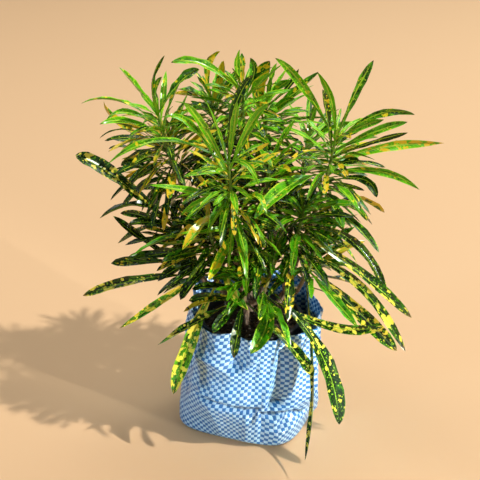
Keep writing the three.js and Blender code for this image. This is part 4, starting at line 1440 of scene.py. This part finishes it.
@dataclass(frozen=True)
class Grid:
    """How finely a blade is made.

    It has a ring at each of some shares of the blade's length. Each point of a ring is so far
    across from the rib, and has a 1 if it lies on the underside.
    """

    stations: tuple[float, ...]
    spots: tuple[tuple[float, int], ...]


FINE = Grid(
    (0, 0.06, 0.12, 0.20, 0.30, 0.40, 0.50, 0.60, 0.70, 0.79, 0.87, 0.93, 0.975, 1),
    ((1, 0), (0.5, 0), (0, 0), (-0.5, 0), (-1, 0), (-0.5, 1), (0, 1), (0.5, 1)),
)
SLIM = Grid(
    (0, 0.08, 0.18, 0.30, 0.43, 0.57, 0.71, 0.84, 0.94, 1),
    ((1, 0), (0, 0), (-1, 0), (0, 1)),
)


@dataclass
class Blade:
    """The shape of a croton's blade: a narrow petiole, then a long strap folded at its rib."""

    petiole_share: float = 0.1
    petiole_width: float = 2.8
    tip_share: float = 0.9985  # short of the tip, so that it doesn't end in one point
    rib: float = 1.5
    fold: float = 0.17
    widest: float = 12
    faces: Triple = (0.1, -0.8, 1)
    share_stations: tuple[float, ...] = (0.07, 0.38, 0.86)
    long_stations: tuple[float, ...] = (0.06, 0.3, 0.58, 0.87)
    long_from: float = 125
    fine_fold: float = 0.5  # of the real blade
    full_width: float = 0.96  # of the real blade, beside the frame's
    broad_width: float = 1.22  # of a leaf that is broad for its kind
    broad: tuple[float, float] = (14, 16)  # the widths of such leaves
    broad_fold: float = 0.5  # how much flatter such leaves are than others, and how much less they curl
    broad_curl: float = 0.3
    curl: float = 1.3  # how far a leaf turns over at most, in radians
    twirl: float = 0.25
    frill: float = 0.06  # how much its width goes up and down
    wave: float = 0.12  # how far its edges wave, of its width
    thin: float = 0.7  # at the rib
    edge: float = 0.3  # at the edges

    def strap(self, u: float) -> float:
        """How wide the strap is at a share of its own length, as a share of its widest."""
        return u**0.55 * (1 - u**3.5) ** 0.75 / 0.655

    def coarse_width(self, share: float, width: float) -> float:
        """How wide the frame's blade is at a share of its length."""
        if share <= self.petiole_share:
            return self.petiole_width
        u = (share - self.petiole_share) / (1 - self.petiole_share)
        return max(self.petiole_width, width * self.strap(u))

    def outline(self, u: float, blunt: float) -> float:
        """How wide the real strap is at a share of its own length, not yet scaled to its widest."""
        return u**0.65 * (1 - u ** (1.9 + 6.0 * blunt)) ** (0.9 - 0.35 * blunt)

    def fine_width(self, share: float, width: float, blunt: float) -> float:
        """How wide the real blade is at a share of its length.

        Args:
            share: The share of its length.
            width: Its width at its widest.
            blunt: 0 for a pointed tip, 1 for a round one.

        Returns:
            The width there.
        """
        u = (share - self.petiole_share) / (1 - self.petiole_share)
        widest = max(self.outline(t / 40, blunt) for t in range(1, 40))
        strap = width * self.outline(min(max(u, 0.0), self.tip_share), blunt) / widest
        return max(self.petiole_width * 0.8, strap) if u < 0.5 else strap

    def frame_at(self, leaf: Leaf, share: float) -> tuple[Array, Array, Array]:
        """The leaf's centre, the way to its right edge and the way up from its face."""
        tangent = leaf.path.tangent(share)
        side = turned(across(tangent, leaf.side), tangent, leaf.roll + leaf.twist * share)
        return leaf.path.point(share), side, np.cross(side, tangent)

    def coarse_ring(self, leaf: Leaf, share: float) -> Array:
        """The frame's section: left edge, rib above, right edge, rib below."""
        centre, side, up = self.frame_at(leaf, share)
        width = self.coarse_width(share, leaf.width)
        deep = self.fold * max(0.0, width - self.petiole_width)
        half, thick = width / 2, self.rib / 2
        corners = [(-half, deep / 2), (0, thick - deep / 2), (half, deep / 2), (0, -thick - deep / 2)]
        return np.array([centre + side * x + up * z for x, z in corners])

    def coarse_rings(self, leaf: Leaf) -> list[Array]:
        """The frame's sections from petiole to tip."""
        stations = self.long_stations if leaf.path.length() > self.long_from else self.share_stations
        return [self.coarse_ring(leaf, share) for share in stations]

    def places(self, leaf: Leaf, seed: float, blunt: float, grid: Grid) -> tuple[Array, Array, float]:
        """Where each point of a real leaf's rings goes, and what its material reads there.

        Args:
            leaf: The leaf.
            seed: The leaf's own number, which shapes its waves.
            blunt: How round its tip is.
            grid: How finely it is made.

        Returns:
            The places, the values of "blade" at them, and the blade's half width.
        """
        is_broad = self.broad[0] <= leaf.width <= self.broad[1]
        wide = leaf.width * (self.broad_width if is_broad else self.full_width)
        fold = self.fine_fold * (self.broad_fold if is_broad else 1)
        places = np.zeros((len(grid.stations), len(grid.spots), 3))
        marks = np.zeros((len(grid.stations), len(grid.spots), 3))
        for k, share in enumerate(grid.stations):
            centre, side, up = self.frame_at(leaf, share)
            curl = self.curl * (seed * 7.1 % 1 - 0.5) * share**2
            curl += self.twirl * math.sin(share * 9 + seed * 40)
            curl *= self.broad_curl if is_broad else 1
            c, s = math.cos(curl), math.sin(curl)
            side, up = side * c + up * s, up * c - side * s
            frill = 1 + self.frill * math.sin(40 * share + seed * 60) * math.sin(math.pi * share)
            width = self.fine_width(share, wide, blunt) * frill
            deep = fold * max(0.0, width - self.petiole_width)
            wave = self.wave * wide * math.sin(math.pi * min(1, share * 1.1))
            body = min(1.0, width / self.petiole_width)
            for i, (x, under) in enumerate(grid.spots):
                thick = (self.edge + (self.thin - self.edge) * (1 - abs(x))) * body
                face = -thick / 2 if under else thick / 2 * (abs(x) < 1)
                phase = share * 3.4 + seed * 3 + 0.27 * np.sign(x)
                ripple = wave * x * x * math.sin(2 * math.pi * phase)
                z = deep * (abs(x) ** 1.1 - 0.5) + ripple + face
                places[k, i] = centre + side * (x * width / 2) + up * z
                marks[k, i] = (x, share, under)
        return places, marks, wide / 2


@dataclass(frozen=True)
class Room:
    """A turned box that a piece of stem or leaf takes up."""

    centre: Array
    axes: Array
    half: Array

    @property
    def radius(self) -> float:
        """How far its corners are from its centre."""
        return float(np.linalg.norm(self.half))


def room_around(points: Array, axes: Sequence[Array], spare: float) -> Room:
    """The box round some points, along three directions, with spare room round it."""
    frame_axes = np.array(axes)
    reach = points @ frame_axes.T
    low, high = reach.min(axis=0), reach.max(axis=0)
    return Room(((low + high) / 2) @ frame_axes, frame_axes, (high - low) / 2 + spare)


class GrowingRoom:
    """The room that stems and leaves have taken, so that each new leaf grows clear of it."""

    def __init__(self) -> None:
        """Starts with nothing taken."""
        self.centres = np.zeros((0, 3))
        self.axes = np.zeros((0, 3, 3))
        self.halves = np.zeros((0, 3))
        self.owners: list[str] = []
        self.near_root = np.zeros(0, bool)

    def take(self, rooms: Sequence[Room], owner: str, near_root: Sequence[bool]) -> None:
        """Marks boxes as taken.

        Args:
            rooms: The boxes.
            owner: The shoot or cane that they belong to.
            near_root: Which of them lie where the owner's own leaves may meet them.
        """
        self.centres = np.vstack([self.centres, [room.centre for room in rooms]])
        self.axes = np.concatenate([self.axes, [room.axes for room in rooms]])
        self.halves = np.vstack([self.halves, [room.half for room in rooms]])
        self.owners += [owner] * len(rooms)
        self.near_root = np.append(self.near_root, np.array(near_root, bool))

    def is_blocked(self, room: Room, owner: str, may_meet_root: bool) -> bool:
        """True if a box meets one that is taken.

        Args:
            room: The box.
            owner: The shoot that it belongs to.
            may_meet_root: Whether it may meet the roots of its own shoot's leaves.

        Returns:
            Whether something is in the way.
        """
        apart = self.centres - room.centre
        reach = np.linalg.norm(self.halves, axis=1) + room.radius
        near = np.linalg.norm(apart, axis=1) <= reach
        if may_meet_root:
            mine = np.array([name == owner for name in self.owners])
            near &= ~(mine & self.near_root)
        if not near.any():
            return False
        return bool(self.meets(room, apart[near], self.axes[near], self.halves[near]).any())

    @staticmethod
    def meets(room: Room, apart: Array, axes: Array, halves: Array) -> Array:
        """Which boxes meet one box: no face normal or cross product of edges separates them.

        Args:
            room: The one box.
            apart: From its centre to each other centre.
            axes: The other boxes' axes.
            halves: The other boxes' half sizes.

        Returns:
            True for each box that meets it.
        """
        count = len(apart)
        own = np.broadcast_to(room.axes, (count, 3, 3))
        crossed = np.cross(own[:, :, None, :], axes[:, None, :, :]).reshape(count, 9, 3)
        lines = np.concatenate([own, axes, crossed], axis=1)
        counts = (lines**2).sum(axis=2) > 1e-6
        gap = np.abs(np.einsum("nlk,nk->nl", lines, apart))
        reach = (np.abs(np.einsum("nlk,njk->nlj", lines, own)) * room.half).sum(axis=2)
        reach += (np.abs(np.einsum("nlk,njk->nlj", lines, axes)) * halves[:, None, :]).sum(axis=2)
        return ~((gap > reach) & counts).any(axis=1)


@dataclass
class Foliage:
    """Every leaf of the plant, grown by the frame's own rule, and the finer leaves between them."""

    bag: BagSewn
    canes: Canes
    blade: Blade = field(default_factory=Blade)
    stem_base: float = 2.8
    stem_tip: float = 1.5
    stem_knobs: float = 0.08  # how far it swells where leaves grow
    soil_top: float = 142
    clearance: float = 0.8
    bag_margin: float = 3.5
    soil_margin: float = 6
    lowest: float = 8  # above what the bag stands on
    root_rooms: int = 2  # of a leaf's boxes, which may meet those of its shoot's other leaves
    sight: Triple = (0, 0.9, -0.42)  # the way the camera looks, along which a tip moves to find room
    shifts: tuple[float, ...] = (0, 8, -8, 16, -16, 24, -24, 32, -32, 40, -40)
    tries: int = 26
    seed: int = 20
    look_seed: int = 5
    fill_seed: int = 77
    fill_clearance: float = 0.1
    fill_ranks: int = 58
    fill_tries: int = 14
    fill_flatter: float = 35  # degrees that a finer leaf rises less than the frame's
    fill_width: float = 0.72
    crown_from: float = 190  # finer leaves end above this
    crown_radius: float = 60  # and within this far from the middle there
    crown_flare: float = 0.9
    crown_oval: float = 1.15
    room: GrowingRoom = field(default_factory=GrowingRoom)
    leaves: list[Leaf] = field(default_factory=list)

    def stem_rooms(self, path: Bow, radius: float, steps: int) -> list[Room]:
        """The boxes along a round stem."""
        rooms = []
        for k in range(steps):
            a, b = path.point(k / steps), path.point((k + 1) / steps)
            along = unit(b - a)
            u = across(along, EAST)
            box = room_around(np.array([a, b]), [along, u, np.cross(along, u)], 0)
            rooms.append(Room(box.centre, box.axes, np.array([box.half[0], radius, radius])))
        return rooms

    def clear_of_bag(self, points: Array) -> bool:
        """True if every point keeps clear of the bag's wall, the soil and what the bag stands on."""
        margin = self.bag_margin
        x, y, z = points.T
        own_x = x - self.bag.lean_at(z)
        angle, radius = np.arctan2(y, own_x), np.hypot(own_x, y)
        above = z > self.bag.rim_height(angle) + margin
        wall = self.bag.wall_radius(angle, z)
        outside = radius > wall + margin
        inside = (radius < wall - self.bag.wall - margin) & (z > self.soil_top + self.soil_margin)
        return bool(((z >= self.lowest) & (above | outside | inside)).all())

    def leaf_points(self, rings: Sequence[Array], tip: Array) -> Array:
        """Points along a leaf's edges and rib, at most 5 mm apart."""
        loops = [*rings, tip[None, :]]
        points = []
        for a, b in zip(loops, loops[1:]):
            count = math.ceil(float(np.linalg.norm(a.mean(axis=0) - b.mean(axis=0))) / 5)
            shares = np.arange(count + 1)[:, None] / count
            for i, p in enumerate(a):
                points.append(p + (b[i % len(b)] - p) * shares)
        return np.vstack(points)

    def leaf_rooms(self, leaf: Leaf, rings: Sequence[Array], spare: float) -> list[Room]:
        """The boxes along a leaf, from its root to its tip."""
        loops = [leaf.path.point(0)[None, :], *rings, leaf.path.point(1)[None, :]]
        rooms = []
        for before, loop in zip(loops, loops[1:]):
            along = unit(loop.mean(axis=0) - before.mean(axis=0))
            wide = loop if len(loop) > 1 else before
            side = across(along, wide[2] - wide[0])
            points = np.vstack([before, loop])
            rooms.append(room_around(points, [along, side, np.cross(along, side)], spare))
        return rooms

    def takes_room(self, leaf: Leaf, spare: float) -> bool:
        """Keeps a leaf if nothing is in its way.

        Args:
            leaf: The leaf to place.
            spare: The room kept round it.

        Returns:
            Whether it was placed.
        """
        rings = self.blade.coarse_rings(leaf)
        if not self.clear_of_bag(self.leaf_points(rings, leaf.path.point(1))):
            return False
        rooms = self.leaf_rooms(leaf, rings, spare)
        near_root = [k < self.root_rooms for k in range(len(rooms))]
        if any(self.room.is_blocked(box, leaf.shoot, near) for box, near in zip(rooms, near_root)):
            return False
        self.room.take(rooms, leaf.shoot, near_root)
        self.leaves.append(leaf)
        return True

    def named_leaf(self, entry: NamedLeaf, shift: float) -> Leaf:
        """A leaf by its tip and arch, as in the list of named leaves."""
        shoot = next(s for s in SHOOTS if s.name == entry.shoot)
        root = shoot.path().point(entry.share)
        end = np.array(entry.tip, float) + np.array(self.sight) * shift
        bow, arch = entry.bow_arch
        bend = root + (end - root) * 0.48 + np.array([2 * bow, 0, 2 * arch])
        side = unit(np.cross(end - root, np.array(self.blade.faces, float)))
        roll = math.radians(entry.roll)
        return Leaf(entry.shoot, Bow(root, bend, end), side, entry.width, roll, 0, entry.share, entry.look)

    def grown_leaf(self, shoot: Shoot, share: float, turn: float, shorter: float, draw: Draw) -> Leaf:
        """A leaf by rule: low ones are long and hang over, high ones are short and stand up.

        Args:
            shoot: The shoot that it grows on.
            share: How far up the shoot it grows.
            turn: Its turn round the shoot, in radians.
            shorter: The share of its length that it gives up to find room.
            draw: The source of its random numbers.

        Returns:
            The leaf.
        """
        path = shoot.path()
        root, axis = path.point(share), path.tangent(share)
        u = across(axis, EAST)
        v = np.cross(axis, u)
        radial = u * math.cos(turn) + v * math.sin(turn)
        rise = math.radians(shoot.rise + (60 - shoot.rise) * share + 24 * (draw() - 0.5))
        length = shoot.long * (1 - 0.45 * share) * (0.8 + 0.35 * draw()) * (1 - shorter)
        droop = (1.1 - 0.6 * share) * (0.5 + draw())
        out = radial * math.cos(rise) + axis * math.sin(rise)
        over = unit(out + np.array([0, 0, -droop]))
        bend = root + out * (length * 0.52)
        tip = bend + over * (length * 0.52)
        width = self.blade.widest * (1 - 0.3 * share) * (0.75 + 0.4 * draw())
        roll, twist = 0.7 * (draw() - 0.5), 1.1 * (draw() - 0.5)
        side = unit(-np.cross(axis, radial))
        return Leaf(shoot.name, Bow(root, bend, tip), side, width, roll, twist, share)

    def grow(self) -> None:
        """Grows the named leaves, then the rest in ranks from the lowest up, as the frame does.

        A leaf in the way of others tries further turns round its shoot, a little shorter each time.
        """
        for cane in CANES:
            mine = [shoot for shoot in SHOOTS if shoot.cane == cane.name]
            for path in [self.canes.trunk(cane), *(self.canes.branch(cane, s) for s in mine)]:
                self.room.take(self.stem_rooms(path, self.canes.foot_radius, 6), cane.name, [False] * 6)
        for shoot in SHOOTS:
            self.room.take(self.stem_rooms(shoot.path(), self.stem_base + 1, 4), shoot.name, [True] * 4)
        for entry in NAMED_LEAVES:
            for shift in self.shifts:
                if self.takes_room(self.named_leaf(entry, shift), self.clearance):
                    break
        draw = Draw(self.seed)
        for rank in range(max(shoot.leaves for shoot in SHOOTS)):
            for index, shoot in enumerate(SHOOTS):
                mine = sum(entry.shoot == shoot.name for entry in NAMED_LEAVES)
                if rank >= shoot.leaves - int(0.7 * mine):  # named leaves take the place of others
                    continue
                share = 0.04 + 0.95 * rank / (shoot.leaves - 1)
                for k in range(self.tries):
                    turn = rank * GOLDEN_TURN + index + k * 0.45
                    leaf = self.grown_leaf(shoot, share, turn, k * 0.016, draw)
                    if self.takes_room(leaf, self.clearance):
                        break

    def in_crown(self, tip: Array) -> bool:
        """True where the crown is dense: above the bag's mouth and not far out."""
        x, y, z = tip
        reach = self.crown_radius + self.crown_flare * (z - self.crown_from)
        return bool(z > self.crown_from and math.hypot(x / self.crown_oval, y) < reach)

    def fill(self) -> None:
        """Adds finer leaves where the crown has room left between the frame's."""
        draw = Draw(self.fill_seed)
        for rank in range(self.fill_ranks):
            for index, shoot in enumerate(SHOOTS):
                share = 0.05 + 0.9 * (rank + draw() * 0.5) / self.fill_ranks
                flatter = replace(shoot, rise=shoot.rise - self.fill_flatter)
                for k in range(self.fill_tries):
                    turn = rank * GOLDEN_TURN * 2 + index * 2 + k * 0.7
                    leaf = self.grown_leaf(flatter, share, turn, 0.05 + k * 0.04, draw)
                    if not self.in_crown(leaf.path.end):
                        continue
                    slim = replace(leaf, width=leaf.width * self.fill_width)
                    if self.takes_room(slim, self.fill_clearance):
                        break

    @staticmethod
    def look_of(leaf: Leaf, draw: Draw) -> tuple[float, float]:
        """A leaf's age and gold: by its name, or by where it grows and chance.

        High and outer leaves are young. Those in front are made younger and so lighter, as painted light;
        those on the left, away from the key lamp, are made older and darker, as painted shade; and those
        deep in the crown are old, partly by age and partly as painted shade.

        Args:
            leaf: The leaf.
            draw: The source of its random numbers.

        Returns:
            Its age and its gold, each from 0 to 1.
        """
        chance, vary = draw(), draw()
        if leaf.look:
            age, gold = leaf.look.value
            return age, gold
        x, y, z = leaf.path.point(0.5)
        outer = float(eased(math.hypot(x / 1.3, y, (z - 300) * (z > 300)) / 100))
        # Inner leaves are less young, partly by age and partly as painted shade.
        young = float((eased((z - 270) / 130) * 0.65 + leaf.share * 0.35) * (0.45 + 0.55 * outer))
        # Painted light: leaves in front are made younger, and so lighter.
        front = float(np.clip((-y - 10) / 60, 0, 1) * np.clip(1.4 - abs(x) / 70, 0, 1))
        # Painted shade: leaves on the left, away from the key lamp, are made older, and so darker.
        old = 1 - young - 0.3 * float(np.clip(x / 80, -1, 1)) - 0.5 * front
        if chance < (0.24 if x < 0 and z > 290 else 0.08):
            age, gold = Look.GOLDEN.value
        else:
            looks = next(looks for older_than, looks in COMMON_LOOKS if old > older_than)
            age, gold = next(look.value for up_to, look in looks if chance < up_to)
        # Painted shade: leaves deep in the crown, where outer is low, are made older, and so darker.
        return min(1, max(0, age + 0.9 * (vary - 0.42) + 0.4 * (1 - outer))), gold

    def build(self) -> dict[str, Piece]:
        """Makes every shoot: its green stem and its leaves, each a copy of one blade, bent to its curve.

        Returns:
            The shoots by name.
        """
        blades = {grid: make_tube("blade", len(grid.stations), len(grid.spots)) for grid in (FINE, SLIM)}
        draw, made = Draw(self.look_seed), {}
        for shoot in SHOOTS:
            parts = [self.stem(shoot)]
            for leaf in self.leaves:
                if leaf.shoot != shoot.name:
                    continue
                seed = draw()
                age, gold = self.look_of(leaf, draw)
                grid = FINE if leaf.look else SLIM
                blade = blades[grid]
                blunt = 0.6 * age**2 + 0.03 * max(0.0, leaf.width - 8)
                places, marks, half = self.blade.places(leaf, seed, blunt, grid)
                part = copy_of(blade.piece, "leaf")
                write_places(part, places[blade.ring, blade.spot])
                count = len(part.data.vertices)
                paint(part, "blade", marks[blade.ring, blade.spot])
                paint(part, "look", np.tile([age, gold, seed], (count, 1)))
                paint(part, "span", np.tile([half, leaf.path.length(), 0.0], (count, 1)))
                parts.append(part)
            piece = join(parts, shoot.name + "_leaves")
            smooth(piece, 70)
            made[shoot.name] = piece
        for blade in blades.values():
            discard(blade.piece)
        return made

    def stem(self, shoot: Shoot) -> Piece:
        """A shoot's green stem, knobbly where leaves grow."""
        rings, spots = 16, 10
        tube = make_tube("stem", rings, spots)
        ring = np.arange(rings)
        radius = self.stem_base + (self.stem_tip - self.stem_base) * ring / (rings - 1)
        radius = radius * (1 + self.stem_knobs * np.cos(ring * 2.4))
        tube.shape(shoot.path().rings(np.tile(radius[:, None], (1, spots))))
        share = tube.ring / (rings - 1)
        age = (0.5 if shoot.is_young else 0.9) * (1 - share)
        paint(tube.piece, "blade", np.stack([0 * share, share, 0 * share], axis=1))
        paint(tube.piece, "look", np.stack([age, 0 * share, 0 * share + 0.4], axis=1))
        paint(tube.piece, "span", np.tile([2.0, 80.0, 1.0], (len(share), 1)))
        return tube.piece


# ------------------------------------------------------------------ light, floor and camera


@dataclass(frozen=True)
class Lamp:
    """A round area light that shines at the plant, with its sizes in metres."""

    name: str
    toward: Triple  # the direction from the plant to the light
    distance: float
    size: float  # its diameter
    power: float  # in watts
    colour: Triple
    spread: float = 180  # how wide its beam opens, in degrees
    height: float = 0.2  # of what it is aimed at

    def light(self) -> None:
        """Adds the light to the scene."""
        data = bpy.data.lights.new(self.name, "AREA")
        data.spread = math.radians(self.spread)
        data.shape, data.size = "DISK", self.size
        data.energy, data.color = self.power, self.colour
        lamp = bpy.data.objects.new(self.name, data)
        aim = Vector((0, 0, self.height))
        lamp.location = aim + Vector(self.toward).normalized() * self.distance
        lamp.rotation_euler = (aim - lamp.location).to_track_quat("-Z", "Y").to_euler()
        bpy.context.scene.collection.objects.link(lamp)


LAMPS = (
    Lamp("key", (0.52, -0.28, 0.807), 8.0, 0.2, 505, (1.0, 0.97, 0.93)),
    Lamp("sky", (-0.15, 0.25, 1.0), 3.0, 2.4, 38, (0.97, 0.97, 1.0)),
    Lamp("window", (0.6, 0.55, 0.6), 3.0, 1.6, 26, (0.80, 0.92, 1.0)),
    Lamp("fill", (0.2, -1.0, 0.4), 4.0, 2.0, 16, (0.90, 0.96, 1.0)),
    Lamp("bag", (1.05, -0.9, 0.13), 1.3, 0.04, 0.235, (0.94, 0.98, 1.0), 16, 0.105),
    Lamp("shade", (-1.0, -0.8, 0.15), 1.3, 0.3, 0.085, (0.35, 0.65, 1.0), 12, 0.065),
    Lamp("left", (-1.0, -0.3, 0.6), 3.0, 2.5, 4, (0.6, 0.8, 1.0)),
)


@dataclass
class Studio:
    """A plain pale floor, one small high lamp from the right, soft lamps round it, and the camera.

    Sizes are metres here.
    """

    lens: float = 98.7
    sensor: float = 36.0
    distance: float = 1.5
    elevation: float = 25.0
    aim: Triple = (-0.008, 0.0, 0.234)
    floor_size: float = 12
    air: Triple = (1.0, 0.97, 0.93)
    air_strength: float = 0.12

    def camera(self) -> None:
        """Places the camera at the photograph's angle and makes it the scene's."""
        data = bpy.data.cameras.new("camera")
        data.lens, data.sensor_width = self.lens, self.sensor
        camera = bpy.data.objects.new("camera", data)
        rise = math.radians(self.elevation)
        aim = Vector(self.aim)
        camera.location = aim + Vector((0, -math.cos(rise), math.sin(rise))) * self.distance
        camera.rotation_euler = (aim - camera.location).to_track_quat("-Z", "Y").to_euler()
        bpy.context.scene.collection.objects.link(camera)
        bpy.context.scene.camera = camera

    def build(self) -> None:
        """Makes the floor, the lights and the surroundings."""
        deselect()
        bpy.ops.mesh.primitive_plane_add(size=self.floor_size)
        floor = bpy.context.object
        floor.name = "floor"
        floor.data.materials.append(FloorFinish().material())
        for lamp in LAMPS:
            lamp.light()
        world = bpy.data.worlds.new("room")
        world.use_nodes = True
        back = world.node_tree.nodes["Background"]
        back.inputs["Color"].default_value = (*self.air, 1)
        back.inputs["Strength"].default_value = self.air_strength
        bpy.context.scene.world = world
        view = bpy.context.scene.view_settings
        view.view_transform = "Standard"
        view.look = "None"


# ------------------------------------------------------------------ the whole plant


OUTSIDE = WovenFinish("bag_outside", (0.008, 0.14, 0.40), (0.43, 0.67, 0.80), 0.36, 0.40)
# The inside: the outside's tapes without the laminate's coat, its pale tapes darkened as painted shade.
SHADED_INSIDE = WovenFinish("bag_inside", (0.030, 0.10, 0.36), (0.16, 0.26, 0.52), 0.6, 0.0)
FRESH = BladeFinish(
    "fresh_leaves", (0.13, 0.56, 0.004), (0.001, 0.040, 0.001), (0.90, 0.74, 0.02), (0.60, 0.92, 0.04), 0.26
)
OLD = BladeFinish(
    "old_leaves", (0.07, 0.38, 0.003), (0.001, 0.020, 0.001), (0.80, 0.70, 0.07), (0.32, 0.56, 0.015), 0.24
)


def main() -> None:
    """Builds every sub-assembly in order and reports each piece."""
    logging.basicConfig(level=logging.INFO, format="%(message)s")
    studio = Studio()
    studio.camera()
    studio.build()
    bag = BagSewn()
    settle(bag.build(), "woven_plastic", ["woven_bag"], OUTSIDE.material(), SHADED_INSIDE.material())
    settle(NurseryPot().build(), "pot_plastic", ["nursery_pot"], PotFinish().material())
    settle(PottingSoil().build(), "soil", ["soil"], SoilFinish().material())
    canes = Canes()
    bark = BarkFinish().material()
    for name, piece in canes.build().items():
        settle(piece, "bark", [name], bark)
    foliage = Foliage(bag, canes)
    foliage.grow()
    log.info("%d leaves as the frame has them", len(foliage.leaves))
    foliage.fill()
    log.info("%d leaves in all", len(foliage.leaves))
    fresh, old = FRESH.material(), OLD.material()
    young = {shoot.name for shoot in SHOOTS if shoot.is_young}
    for name, piece in foliage.build().items():
        settle(piece, "fresh_leaf" if name in young else "old_leaf", [name], fresh if name in young else old)


if __name__ == "__main__":
    main()
